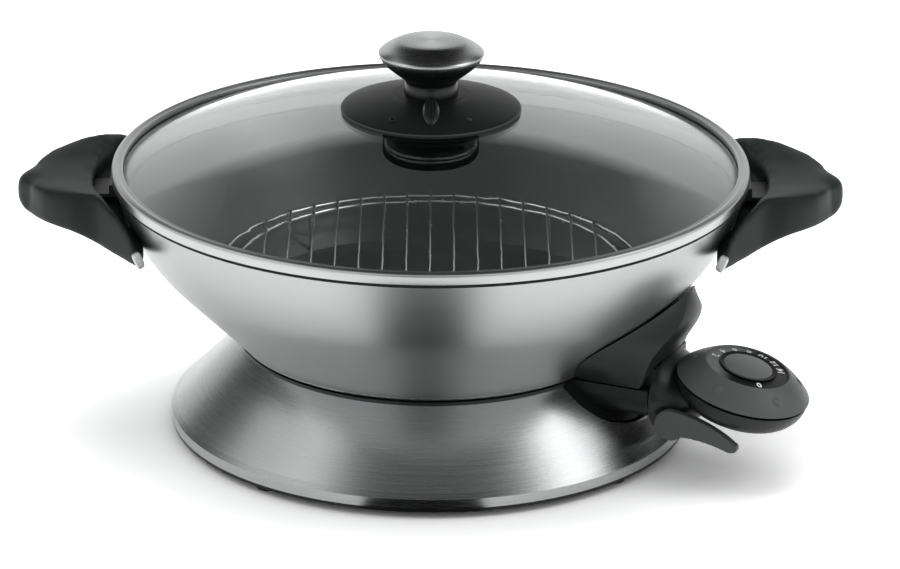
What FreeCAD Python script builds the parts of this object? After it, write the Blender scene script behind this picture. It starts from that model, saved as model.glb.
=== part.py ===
"""Electric wok: a steel base, a lift-off pan with two handles, a glass lid with a
steam vent, a wire rack and a plug-in temperature probe with a dial and an eject lever.

Millimetres, +Z up. The origin is on the table, under the middle of the pan.
The handles lie along X. The probe leaves the pan at probe_heading from +X, and the
parts of the socket and the probe are drawn with their own X along the probe's axis.
"""
import FreeCAD, Part
import math
import os
import Sketcher

doc = FreeCAD.newDocument("electric_wok")
sheet = doc.addObject("Spreadsheet::Sheet", "Sizes")
V = FreeCAD.Vector
UP = V(0, 0, 1)


# ---------------------------------------------------------------- driving sizes

DRIVING_SIZES = {
    # the steel base
    "steel_wall": 1.0, "cone_top_radius": 107.0, "cone_top_height": 51.0,
    "cone_foot_radius": 143.4, "cone_foot_height": 14.0, "skirt_radius": 146.0,
    "skirt_top_height": 11.5, "skirt_low_height": 6.0, "cone_flange_radius": 99.0,
    "deck_radius": 107.4, "deck_top_height": 52.7, "deck_dish_radius": 96.0,
    "deck_dish_height": 49.0, "moulding_wall": 2.5,
    "floor_radius": 144.4, "floor_low_height": 4.0, "floor_lip_radius": 145.6,
    "rubber_foot_radius": 8.0, "rubber_foot_circle": 134.0, "rubber_foot_angle": -41.0,
    "post_radius": 5.5, "post_circle": 80.0, "screw_radius": 1.9, "screw_head_radius": 3.6,
    # the probe socket, half in the base and half on the pan
    "probe_heading": -24.0, "seam_height": 52.6, "seam_gap": 0.6,
    "surround_half": 41.4, "surround_shoulder": 46.0, "surround_heel": 26.3,
    "surround_heel_height": 28.7, "surround_bend": 19.0, "surround_sole_bend": 76.0,
    "surround_depth": 4.5, "cradle_inset": 9.8, "socket_start": 104.0,
    "socket_mouth": 145.0, "socket_wall": 2.6,
    # the pan
    "skin_wall": 0.9, "pan_foot_height": 53.0, "pan_foot_radius": 105.0,
    "flank_start_radius": 108.8, "flank_start_height": 55.8, "flank_end_radius": 146.0,
    "flank_end_height": 93.0, "flank_bend": 116.0, "rim_radius": 176.5, "rim_height": 145.8,
    "ledge_radius": 168.6, "ledge_height": 134.0, "bowl_wall": 3.6,
    "bowl_floor_height": 65.0, "bowl_floor_radius": 88.0, "bowl_corner_radius": 108.0,
    "bowl_corner_height": 69.5, "bowl_flank_radius": 140.0, "bowl_flank_height": 99.5,
    "bowl_corner_bend": 34.0, "bowl_bend": 160.0,
    "cover_radius": 99.0, "cover_wall": 0.8, "element_radius": 2.2, "element_ring": 72.0,
    "live_height": 58.1, "pin_radius": 2.2, "pin_spread": 14.0, "pin_start": 70.0,
    "pin_end": 134.0, "sensor_tube_radius": 3.0, "sensor_tube_wall": 0.6,
    "sensor_tube_start": 46.0, "sensor_tube_end": 96.5,
    # the shroud of the socket: its level sections from the seam up to the nose
    "shroud_seat_gap": 0.05, "shroud_spread": 3.0, "shroud_inside_half": 27.4,
    "shroud_arch_rise": 13.4, "shroud_arch_bend": 14.0,
    "seam_ridge": 139.5, "seam_half": 30.4, "seam_front": 142.4, "seam_back": 96.0,
    "seam_back_half": 31.0,
    "sill_height": 66.0, "sill_ridge": 144.8, "sill_half": 31.2, "sill_front": 149.0,
    "sill_back": 98.0, "sill_back_half": 53.0,
    "waist_height": 78.0, "waist_ridge": 151.3, "waist_half": 27.5, "waist_front": 156.2,
    "waist_back": 109.3, "waist_back_half": 60.4,
    "brow_height": 88.0, "brow_ridge": 157.5, "brow_half": 17.0, "brow_front": 160.4,
    "brow_back": 124.5, "brow_back_half": 51.0,
    "bridge_height": 96.0, "bridge_ridge": 158.2, "bridge_half": 9.5, "bridge_front": 159.6,
    "bridge_back": 137.0, "bridge_back_half": 44.0,
    "nose_tip_height": 102.6, "nose_tip_ridge": 157.2, "nose_tip_half": 3.5,
    "nose_tip_front": 157.6, "nose_tip_back": 150.0, "nose_tip_back_half": 26.0,
    # the handles
    "handle_tip": 231.5, "handle_tip_bend": 22.0, "handle_tip_half": 16.0,
    "handle_tip_corner": 224.0, "handle_side_bend": 72.0, "handle_waist": 194.0,
    "handle_waist_half": 47.6, "handle_throat": 183.5, "handle_throat_half": 55.8,
    "handle_throat_bend": 40.0, "arm_end": 163.6, "arm_end_half": 85.0,
    "arm_inner": 158.9, "arm_inner_half": 86.6, "finger_gap_bend": 143.1,
    "handle_crest": 189.0, "handle_crest_height": 152.5, "handle_shoulder": 183.5,
    "handle_tip_top": 147.5, "handle_tip_low": 127.5, "handle_top_bend": 140.0,
    "arm_top_bend": 31.0, "arm_top_height": 129.5, "arm_low_height": 120.8,
    "palm_half": 49.0, "palm_bend": 300.0, "handle_screw_place": 199.0,
    "web_height": 133.0, "web_gap": 0.6, "web_waist": 173.6, "web_waist_half": 67.0,
    "web_front": 190.0, "web_front_half": 30.0,
    "bracket_wall": 2.0, "bracket_half": 13.0, "bracket_height": 137.0,
    "bracket_reach": 206.0,
    # the lid
    "band_radius": 178.0, "band_low_height": 148.0, "band_top_height": 154.6,
    "band_inner_radius": 171.4, "band_skirt_radius": 173.1, "band_skirt_height": 141.5,
    "band_crest_radius": 175.4, "band_shoulder_height": 152.6, "band_step": 1.2,
    "seal_radius": 176.3, "seal_inner_radius": 174.45, "seal_low_height": 145.9,
    "glass_radius": 173.0, "glass_edge_height": 150.1, "glass_top_height": 187.9,
    "glass_wall": 3.6, "glass_bend": 414.0, "lid_hole_radius": 9.0,
    "disc_radius": 50.3, "disc_low_height": 185.4, "disc_edge_height": 187.0,
    "disc_lip_radius": 49.7, "disc_lip_height": 187.5, "disc_bend": 120.0,
    "disc_seat_height": 193.4, "disc_wall": 2.2,
    "boss_radius": 26.8, "boss_low_height": 160.0, "boss_wall": 2.4,
    "boss_port_circle": 14.5, "boss_port_radius": 2.4,
    "knob_neck_radius": 14.3, "knob_low_height": 196.4, "knob_neck_height": 200.4,
    "knob_sweep_radius": 16.6, "knob_sweep_height": 202.4, "knob_flare_radius": 24.0,
    "knob_flare_height": 208.3, "knob_core_radius": 26.9,
    "cap_radius": 29.6, "cap_low_radius": 27.8, "cap_low_height": 212.4,
    "cap_lip_height": 218.2, "cap_flat_radius": 17.8, "cap_top_height": 226.2,
    "cap_crown": 0.6, "cap_wall": 1.2, "lid_screw_radius": 2.4, "lid_screw_head_radius": 4.6,
    "vent_ring_radius": 19.2, "vent_tab_start": 15.0, "vent_tab_end": 41.0,
    "vent_tab_bend": 20.0, "vent_tab_rise": 3.2, "vent_pin_circle": 16.9,
    "vent_pin_radius": 1.2, "vent_port_circle": 20.0, "vent_port_radius": 2.6,
    "vent_travel": 24.0, "vent_ring_gap": 0.12,
    # the rack
    "rack_outer_radius": 118.0, "rack_inner_radius": 108.5, "rack_ring_wire": 1.2,
    "rack_height": 92.0, "rack_wire": 0.75, "rack_pitch": 13.4, "rack_leg_wire": 1.1,
    "rack_leg_offset": 69.0, "rack_leg_foot": 71.5, "rack_weld": 0.15,
    # the dial on the probe
    "dial_reach": 189.0, "dial_height": 51.7, "dial_tilt": 14.2, "dial_radius": 37.6,
    "dial_rim": 1.4, "dial_bend": 53.0, "dial_flat_radius": 24.4, "dial_flat_rise": 11.9,
    "number_ring_radius": 23.0, "number_ring_rise": 11.0, "dial_rise": 12.7,
    "dial_wall": 2.4, "dial_gap": 1.1, "dish_rim_drop": 0.7, "grip_circle": 31.0, "grip_rise": 7.0,
    "grip_bend": 6.2, "grip_lean": 42.0, "cap_ring_radius": 16.1,
    "centre_cap_radius": 13.7, "spindle_radius": 4.0,
    "dish_low": 15.5, "dish_flat_radius": 20.5, "dish_bend": 15.8,
    # the head of the probe
    "head_half": 31.2, "head_half_height": 21.5, "head_height": 43.6, "head_gap": 0.5,
    "throat_reach": 150.0, "throat_half": 30.0, "throat_half_height": 19.0,
    "throat_height": 43.3, "neck_reach": 156.0, "neck_half": 27.2, "neck_half_height": 16.4,
    "neck_height": 41.6, "neck_thin_reach": 164.0, "neck_thin_half": 24.5,
    "neck_thin_half_height": 13.5, "neck_thin_height": 42.5, "neck_end": 176.0,
    "neck_end_half": 18.0, "neck_end_half_height": 4.0, "neck_end_height": 46.5,
    "nose_half": 23.6, "nose_low": 36.0, "nose_shoulder": 46.0, "nose_top": 62.4,
    "nose_start": 120.5, "rod_radius": 2.1, "rod_start": 52.0,
    "sleeve_radius": 3.6, "sleeve_bore": 2.5,
    "lever_reach": 159.0, "lever_height": 35.0, "lever_disc_radius": 8.8,
    "lever_wall": 4.8, "lever_offset": 29.0, "lever_drop": 10.0, "lever_length": 40.5,
    "lever_tip_low": 3.8, "lever_waist": 12.0, "lever_shoulder": 19.6,
    "lever_shoulder_rise": 8.1, "lever_pin_radius": 2.0, "lever_pin_depth": 3.4,
    "gland_radius": 6.0, "gland_length": 14.0, "gland_reach": 160.0,
    "gland_height": 41.0, "gland_start": 28.8,
}


class Size:
    """A number from the sheet, with the expression that leads back to its cell."""

    def __init__(self, value, text):
        self.value = value
        self.text = text

    def __add__(self, other):
        return Size(self.value + number(other), f"({self.text} + {words(other)})")

    def __radd__(self, other):
        return Size(number(other) + self.value, f"({words(other)} + {self.text})")

    def __sub__(self, other):
        return Size(self.value - number(other), f"({self.text} - {words(other)})")

    def __rsub__(self, other):
        return Size(number(other) - self.value, f"({words(other)} - {self.text})")

    def __mul__(self, other):
        return Size(self.value * number(other), f"({self.text} * {words(other)})")

    def __truediv__(self, other):
        return Size(self.value / number(other), f"({self.text} / {words(other)})")

    def __rmul__(self, other):
        return Size(number(other) * self.value, f"({words(other)} * {self.text})")

    def __neg__(self):
        return Size(-self.value, f"(-{self.text})")

    def root(self):
        return Size(math.sqrt(self.value), f"sqrt({self.text})")


def number(thing):
    return thing.value if isinstance(thing, Size) else float(thing)


def words(thing):
    return thing.text if isinstance(thing, Size) else f"{float(thing):.6g}"


class Sizes:
    """The sheet's cells by name, each as a Size."""

    def __init__(self, table):
        for row, (name, value) in enumerate(table.items(), start=1):
            sheet.set(f"A{row}", name)
            sheet.set(f"B{row}", str(value))
            sheet.setAlias(f"B{row}", name)
            setattr(self, name, Size(float(value), f"Sizes.{name}"))


of = Sizes(DRIVING_SIZES)
doc.recompute()


def size_of(name):
    """A size by a name that is put together."""
    return getattr(of, name)


def bind(thing, prop, size):
    """Tie a property to the sheet."""
    thing.setExpression(prop, words(size))


# ---------------------------------------------------------------- sketch helpers

class Bend:
    """An arc between the points before and after it. A positive side bulges to the
    right of the way of drawing, which is outwards on a path drawn anticlockwise."""

    def __init__(self, radius, side=1):
        self.radius = radius
        self.side = side


def crown(radius, rise):
    """The Bend of a dome about the axis, of this radius at its edge and this rise."""
    return Bend((radius * radius + rise * rise) / (rise * 2))


def arc_between(start, end, radius, side):
    """The short arc of this radius from start to end, drawn anticlockwise, and which of
    its ends is the start: 1 is its first and 2 its last."""
    chord = end - start
    half = chord.Length / 2
    right = V(chord.y, -chord.x, 0) / chord.Length
    centre = (start + end) / 2 - right * (math.sqrt(radius ** 2 - half ** 2) * side)
    first, last = (start, end) if side > 0 else (end, start)
    begin = math.atan2(first.y - centre.y, first.x - centre.x)
    finish = math.atan2(last.y - centre.y, last.x - centre.x)
    if finish < begin:
        finish += 2 * math.pi
    return Part.ArcOfCircle(Part.Circle(centre, UP, radius), begin, finish), 1 if side > 0 else 2


def closed_path(sketch, path):
    """Draw a closed path of (x, y) corners with Bends between some of them."""
    corners = [step for step in path if not isinstance(step, Bend)]
    edges = []
    for place, step in enumerate(path):
        if isinstance(step, Bend):
            continue
        after = path[(place + 1) % len(path)]
        bend = after if isinstance(after, Bend) else None
        edges.append(bend)
    first = None
    for index, corner in enumerate(corners):
        following = corners[(index + 1) % len(corners)]
        start = V(number(corner[0]), number(corner[1]), 0)
        end = V(number(following[0]), number(following[1]), 0)
        bend = edges[index]
        if bend is None:
            edge = sketch.addGeometry(Part.LineSegment(start, end))
            near, far = 1, 2
        else:
            arc, near = arc_between(start, end, number(bend.radius), bend.side)
            edge = sketch.addGeometry(arc)
            far = 3 - near
            rule = sketch.addConstraint(Sketcher.Constraint("Radius", edge, number(bend.radius)))
            bind(sketch, f"Constraints[{rule}]", bend.radius)
        if first is None:
            first = (edge, near)
        else:
            sketch.addConstraint(Sketcher.Constraint("Coincident", last[0], last[1], edge, near))
        last = (edge, far)
        for kind, value in (("DistanceX", corner[0]), ("DistanceY", corner[1])):
            rule = sketch.addConstraint(
                Sketcher.Constraint(kind, -1, 1, edge, near, number(value)))
            bind(sketch, f"Constraints[{rule}]", value)
    sketch.addConstraint(Sketcher.Constraint("Coincident", last[0], last[1], first[0], first[1]))


def round_hole(sketch, x, y, radius):
    """Draw a full circle."""
    edge = sketch.addGeometry(Part.Circle(V(number(x), number(y), 0), UP, number(radius)))
    rules = (("Radius", (edge,), radius), ("DistanceX", (-1, 1, edge, 3), x),
             ("DistanceY", (-1, 1, edge, 3), y))
    for kind, ends, value in rules:
        rule = sketch.addConstraint(Sketcher.Constraint(kind, *ends, number(value)))
        bind(sketch, f"Constraints[{rule}]", value)


def plane_of(body, role):
    """One of the body's own origin planes."""
    return [item for item in body.Origin.OriginFeatures if item.Role == role][0]


def sketch_on(body, role, paths=(), circles=(), lift=0):
    """A sketch on an origin plane of the body, lifted along the plane's normal."""
    sketch = body.newObject("Sketcher::SketchObject", f"{body.Name}_sketch")
    sketch.AttachmentSupport = [(plane_of(body, role), "")]
    sketch.MapMode = "FlatFace"
    bind(sketch, "AttachmentOffset.Base.z", lift)
    for path in paths:
        closed_path(sketch, path)
    for circle in circles:
        round_hole(sketch, *circle)
    return sketch


# ---------------------------------------------------------------- feature helpers

def new_body(label, heading=0):
    body = doc.addObject("PartDesign::Body", label)
    body.Label = label
    body.Placement = FreeCAD.Placement(V(), FreeCAD.Rotation(UP, number(heading)))
    if isinstance(heading, Size):
        bind(body, "Placement.Rotation.Angle", heading)
    return body


def feature(body, kind, sketch):
    made = body.newObject(f"PartDesign::{kind}", f"{body.Name}_{kind.lower()}")
    made.Profile = sketch
    sketch.Visibility = False
    return made


def turned(body, paths, role="XZ_Plane", cut=False):
    """Revolve closed (radius, height) paths about the body's Z axis."""
    sketch = sketch_on(body, role, paths)
    made = feature(body, "Groove" if cut else "Revolution", sketch)
    made.ReferenceAxis = (sketch, ["V_Axis"])
    made.Angle = 360
    doc.recompute()
    return made


def lofted(body, sections):
    """A smooth solid through closed sketches, one above the other."""
    made = feature(body, "AdditiveLoft", sections[0])
    made.Sections = sections[1:]
    for sketch in sections[1:]:
        sketch.Visibility = False
    doc.recompute()
    return made


def padded(body, sketch, length, midplane=False):
    made = feature(body, "Pad", sketch)
    bind(made, "Length", length)
    if midplane:
        made.SideType = "Symmetric"
    doc.recompute()
    return made


def pocketed(body, sketch, length=None, midplane=False, reverse=False):
    """Cut the sketch away, and make sure that the cut removes something."""
    before = body.Shape.Volume
    made = feature(body, "Pocket", sketch)
    made.Reversed = reverse
    if length is None:
        made.Type = "ThroughAll"
    else:
        bind(made, "Length", length)
    if midplane:
        made.SideType = "Symmetric"
    doc.recompute()
    if body.Shape.Volume >= before - 1e-3:
        raise RuntimeError(f"{body.Label}: the cut {made.Name} removes nothing")
    return made


def round_pattern(body, made, count):
    """Repeat the last feature about the body's Z axis."""
    pattern = body.newObject("PartDesign::PolarPattern", f"{body.Name}_pattern")
    pattern.Originals = [made]
    axis = [item for item in body.Origin.OriginFeatures if item.Role == "Z_Axis"][0]
    pattern.Axis = (axis, [""])
    pattern.Angle = 360
    pattern.Occurrences = count
    body.Tip = pattern
    doc.recompute()
    return pattern


def cylinder(name, radius, length, place, along=UP):
    """A Part cylinder from place, along a direction."""
    made = doc.addObject("Part::Cylinder", name)
    bind(made, "Radius", radius)
    bind(made, "Height", length)
    made.Placement = FreeCAD.Placement(V(*[number(part) for part in place]),
                                       FreeCAD.Rotation(UP, along))
    for axis, part in zip("xyz", place):
        bind(made, f"Placement.Base.{axis}", part)
    return made


def joined(kind, label, shapes, heading=0):
    """A MultiFuse or a Compound of shapes, as one labelled sub-part."""
    made = doc.addObject(f"Part::{kind}", label)
    made.Label = label
    if kind == "Compound":
        made.Links = shapes
    else:
        made.Shapes = shapes
    made.Placement = FreeCAD.Placement(V(), FreeCAD.Rotation(UP, number(heading)))
    return made


def less(label, base, tool, heading=0):
    """What is left of base without tool, as one labelled sub-part."""
    made = doc.addObject("Part::Cut", label)
    made.Label = label
    made.Base = base
    made.Tool = tool
    made.Placement = FreeCAD.Placement(V(), FreeCAD.Rotation(UP, number(heading)))
    return made


# ---------------------------------------------------------------- base

def trough_path(inset, top):
    """The socket's U-shaped section, drawn in from its cut-out by inset."""
    half = of.surround_half - inset
    heel = of.surround_heel - inset * 0.72
    heel_height = of.surround_heel_height + inset * 0.45
    side_bend = of.surround_bend - inset * 0.45
    return [(half, top), (-half, top), (-half, of.surround_shoulder), Bend(side_bend),
            (-heel, heel_height), Bend(of.surround_sole_bend - inset), (heel, heel_height),
            Bend(side_bend), (half, of.surround_shoulder)]


def base_cone():
    """Spun steel skirt with a rolled-in top flange and a short upright edge, cut out
    where the probe socket comes through."""
    body = new_body("base_cone", of.probe_heading)
    wall = of.steel_wall
    turned(body, [[
        (of.cone_flange_radius, of.cone_top_height), (of.cone_top_radius, of.cone_top_height),
        (of.cone_foot_radius, of.cone_foot_height), (of.skirt_radius, of.skirt_top_height),
        (of.skirt_radius, of.skirt_low_height), (of.skirt_radius - wall, of.skirt_low_height),
        (of.skirt_radius - wall, of.skirt_top_height - wall * 0.4),
        (of.cone_foot_radius - wall * 1.2, of.cone_foot_height - wall * 0.6),
        (of.cone_top_radius - wall, of.cone_top_height - wall),
        (of.cone_flange_radius, of.cone_top_height - wall)]])
    window = sketch_on(body, "YZ_Plane", [trough_path(0, of.cone_top_height + 5)])
    pocketed(body, window, reverse=True)
    return body


def base_deck():
    """Black moulded top of the base: the pan stands on its ring. Four posts go down to
    the floor, and the edge is open where the socket passes."""
    body = new_body("base_deck", of.probe_heading)
    wall = of.moulding_wall
    under = of.cone_top_height + 0.1
    turned(body, [[
        (0, of.deck_dish_height), (of.deck_dish_radius, of.deck_dish_height),
        (of.deck_dish_radius, of.deck_top_height), (of.deck_radius, of.deck_top_height),
        (of.deck_radius, under), (of.deck_dish_radius + wall, under),
        (of.deck_dish_radius + wall, of.deck_dish_height - wall),
        (0, of.deck_dish_height - wall)]])
    window = sketch_on(body, "YZ_Plane", [trough_path(0.4, of.deck_top_height + 5)],
                       lift=of.deck_dish_radius - 6)
    pocketed(body, window, reverse=True)
    post_low = of.floor_low_height + of.moulding_wall
    post = sketch_on(body, "XY_Plane", circles=[
        (of.post_circle * 0.70711, of.post_circle * 0.70711, of.post_radius)], lift=post_low)
    made = padded(body, post, of.deck_dish_height - wall - post_low + 0.5)
    round_pattern(body, made, 4)
    bore = sketch_on(body, "XY_Plane", circles=[
        (of.post_circle * 0.70711, of.post_circle * 0.70711, of.screw_radius)], lift=post_low)
    made = pocketed(body, bore, 16, reverse=True)
    round_pattern(body, made, 4)
    return body


def base_floor():
    """Black moulded underside with a stiffening rib, air slots, screw wells and the
    seats of the feet."""
    body = new_body("base_floor", of.probe_heading)
    wall = of.moulding_wall
    low = of.floor_low_height
    turned(body, [[
        (0, low), (of.floor_lip_radius, low), (of.floor_lip_radius, of.skirt_low_height - 0.1),
        (of.floor_radius, of.skirt_low_height - 0.1), (of.floor_radius, low + wall * 2),
        (of.floor_radius - wall, low + wall * 2), (of.floor_radius - wall, low + wall),
        (110, low + wall), (110, low + wall * 2), (108, low + wall * 2), (108, low + wall),
        (0, low + wall)]])
    slot = sketch_on(body, "XY_Plane", [[(30, -2), (62, -2), Bend(2.2), (62, 2), (30, 2),
                                         Bend(2.2)]], lift=low)
    made = pocketed(body, slot, reverse=True)
    round_pattern(body, made, 12)
    spot = of.post_circle * 0.70711
    well = sketch_on(body, "XY_Plane", circles=[(spot, spot, of.screw_radius + 0.2)], lift=low)
    made = pocketed(body, well, reverse=True)
    round_pattern(body, made, 4)
    return body


def polar(circle, degrees):
    """A place on a circle about the Z axis, at an angle worked out here."""
    turn = math.radians(degrees)
    return circle * math.cos(turn), circle * math.sin(turn)


def rubber_feet():
    """Four rubber feet under the edge of the floor."""
    feet = []
    for place in range(4):
        x, y = polar(of.rubber_foot_circle, number(of.rubber_foot_angle) + 90 * place)
        sole = doc.addObject("Part::Cone", f"foot_sole_{place}")
        bind(sole, "Radius1", of.rubber_foot_radius - 1)
        bind(sole, "Radius2", of.rubber_foot_radius)
        bind(sole, "Height", of.floor_low_height)
        for axis, part in (("x", x), ("y", y)):
            bind(sole, f"Placement.Base.{axis}", part)
        feet.append(sole)
    return joined("Compound", "rubber_feet", feet)


def base_screws():
    """Screws that hold the floor to the posts of the deck."""
    screws = []
    for place in range(4):
        x, y = polar(of.post_circle, 45 + 90 * place + number(of.probe_heading))
        low = of.floor_low_height - 2
        shank = cylinder(f"base_shank_{place}", of.screw_radius - 0.05, 12, (x, y, low + 2))
        head = cylinder(f"base_head_{place}", of.screw_head_radius, 2, (x, y, low))
        screws.append(joined("MultiFuse", f"base_screw_{place}", [head, shank]))
    return joined("Compound", "base_screws", screws)


def probe_cradle():
    """Lower half of the probe socket: an open trough let into the base, with a recessed
    surround behind the edge of the cut-out."""
    body = new_body("probe_cradle", of.probe_heading)
    top = of.seam_height - of.seam_gap
    surround = sketch_on(body, "YZ_Plane", [trough_path(0.5, top)], lift=of.deck_dish_radius)
    padded(body, surround, of.socket_mouth - of.deck_dish_radius)
    depth = of.surround_depth
    far = of.skirt_radius + 40
    turned(body, [[
        (of.cone_top_radius - depth, of.cone_top_height + 20),
        (of.cone_top_radius - depth, of.cone_top_height),
        (of.cone_foot_radius - depth, of.cone_foot_height),
        (of.cone_foot_radius - depth, 0), (far, 0), (far, of.cone_top_height + 20)]], cut=True)
    rail = sketch_on(body, "YZ_Plane", [trough_path(of.cradle_inset, top)],
                     lift=of.deck_dish_radius)
    padded(body, rail, of.socket_mouth - of.deck_dish_radius)
    hollow = sketch_on(body, "YZ_Plane", [trough_path(of.cradle_inset + of.socket_wall, top + 5)],
                       lift=of.socket_start)
    pocketed(body, hollow, reverse=True)
    return body


# ---------------------------------------------------------------- pan

def bowl_skin():
    """Outer steel shell of the pan: turned-in foot, straight flank, rounded shoulder and
    upright rim, with a window for the contacts."""
    body = new_body("bowl_skin", of.probe_heading)
    wall = of.skin_wall
    turned(body, [[
        (of.cover_radius - 2, of.pan_foot_height), (of.pan_foot_radius, of.pan_foot_height),
        Bend(4.5), (of.flank_start_radius, of.flank_start_height),
        (of.flank_end_radius, of.flank_end_height), Bend(of.flank_bend),
        (of.rim_radius, of.rim_height), (of.rim_radius - wall, of.rim_height),
        Bend(of.flank_bend - wall, -1),
        (of.flank_end_radius - wall * 0.7, of.flank_end_height + wall * 0.7),
        (of.flank_start_radius - wall * 0.7, of.flank_start_height + wall * 0.7),
        (of.pan_foot_radius, of.pan_foot_height + wall),
        (of.cover_radius - 2, of.pan_foot_height + wall)]])
    low = of.pan_foot_height + wall + 0.3
    window = sketch_on(body, "YZ_Plane", [[(-20, low), (20, low), (20, low + 9.5),
                                           (-20, low + 9.5)]], lift=90)
    pocketed(body, window, 40, reverse=True)
    return body


def wok_bowl():
    """Cast bowl with a non-stick inside, hung by its lip in the skin."""
    body = new_body("wok_bowl")
    wall = of.bowl_wall
    low = of.bowl_floor_height - wall
    turned(body, [[
        (0, low), (of.bowl_floor_radius, low), Bend(of.bowl_corner_bend + wall),
        (of.bowl_corner_radius + wall * 0.7, of.bowl_corner_height - wall * 0.7),
        (of.bowl_flank_radius + wall * 0.7, of.bowl_flank_height - wall * 0.7),
        Bend(of.bowl_bend + wall), (of.ledge_radius + wall * 0.4, of.ledge_height - wall),
        (of.ledge_radius + 1.6, of.ledge_height - wall * 0.6),
        (of.ledge_radius + 2.5, of.ledge_height), (of.ledge_radius, of.ledge_height),
        Bend(of.bowl_bend, -1), (of.bowl_flank_radius, of.bowl_flank_height),
        (of.bowl_corner_radius, of.bowl_corner_height), Bend(of.bowl_corner_bend, -1),
        (of.bowl_floor_radius, of.bowl_floor_height), (0, of.bowl_floor_height)]])
    return body


def bottom_cover():
    """Pressed steel plate under the element."""
    body = new_body("bottom_cover")
    low = of.pan_foot_height - of.cover_wall + 0.3
    turned(body, [[(0, low), (of.deck_dish_radius - 2, low), (of.deck_dish_radius - 2, low + 0.8),
                   (0, low + 0.8)]])
    return body


def heating_element():
    """Sheathed element: an open ring clamped under the bowl."""
    ring = doc.addObject("Part::Torus", "element_coil")
    bind(ring, "Radius1", of.element_ring)
    bind(ring, "Radius2", of.element_radius)
    ring.Angle3 = 336
    bind(ring, "Placement.Base.z", of.live_height)
    bind(ring, "Placement.Rotation.Angle", of.probe_heading + 12)
    ring.Label = "heating_element"
    return ring


def terminal_pins():
    """Two contact pins from the element's ends to the socket."""
    pins = [cylinder(f"pin_{side}", of.pin_radius, of.pin_end - of.pin_start,
                     (of.pin_start, of.pin_spread * side, of.live_height), V(1, 0, 0))
            for side in (-1, 1)]
    return joined("Compound", "terminal_pins", pins, of.probe_heading)


def sensor_tube():
    """Steel tube under the bowl that takes the probe's rod."""
    body = new_body("sensor_tube", of.probe_heading)
    ring = sketch_on(body, "YZ_Plane", circles=[
        (0, of.live_height, of.sensor_tube_radius),
        (0, of.live_height, of.sensor_tube_radius - of.sensor_tube_wall)],
        lift=of.sensor_tube_start)
    padded(body, ring, of.sensor_tube_end - of.sensor_tube_start)
    return body


def pan_space(gap, spread=0):
    """The space that the skin takes up, with a gap round it that a spread widens towards
    the rim."""
    rim = of.rim_radius + gap + spread
    return [(0, 0), (of.flank_start_radius + gap, 0),
            (of.flank_start_radius + gap, of.flank_start_height - gap * 0.4),
            (of.flank_end_radius + gap * 0.7 + spread * 0.4,
             of.flank_end_height - gap * 0.7 - spread * 0.3),
            Bend(of.flank_bend + gap), (rim, of.rim_height),
            (rim, of.rim_height + 20), (0, of.rim_height + 20)]


def shroud_section(body, level):
    """A level section of the shroud: flanks that widen towards the bowl, and a bowed
    front between two ridges."""
    height = of.seam_height if level == "seam" else size_of(f"{level}_height")
    ridge, half = size_of(f"{level}_ridge"), size_of(f"{level}_half")
    back, back_half = size_of(f"{level}_back"), size_of(f"{level}_back_half")
    bow = crown(half, size_of(f"{level}_front") - ridge)
    return sketch_on(body, "XY_Plane", [[
        (back, -back_half), (ridge, -half), bow, (ridge, half), (back, back_half)]], lift=height)


def probe_shroud():
    """Upper half of the probe socket: a gusset that hugs the bowl and narrows to a nose
    under its rim, with an arch in its front for the probe's head."""
    body = new_body("probe_shroud", of.probe_heading)
    lofted(body, [shroud_section(body, level) for level in
                  ("seam", "sill", "waist", "brow", "bridge", "nose_tip")])
    turned(body, [pan_space(of.shroud_seat_gap, of.shroud_spread)], cut=True)
    low = of.seam_height
    inner = of.shroud_inside_half
    hollow = sketch_on(body, "YZ_Plane", [[
        (-inner, low - 5), (inner, low - 5), (inner, low + 5), Bend(of.shroud_arch_bend),
        (inner - 9, low + of.shroud_arch_rise), (-inner + 9, low + of.shroud_arch_rise),
        Bend(of.shroud_arch_bend), (-inner, low + 5)]], lift=of.socket_start - 5)
    pocketed(body, hollow, reverse=True)
    return body


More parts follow.
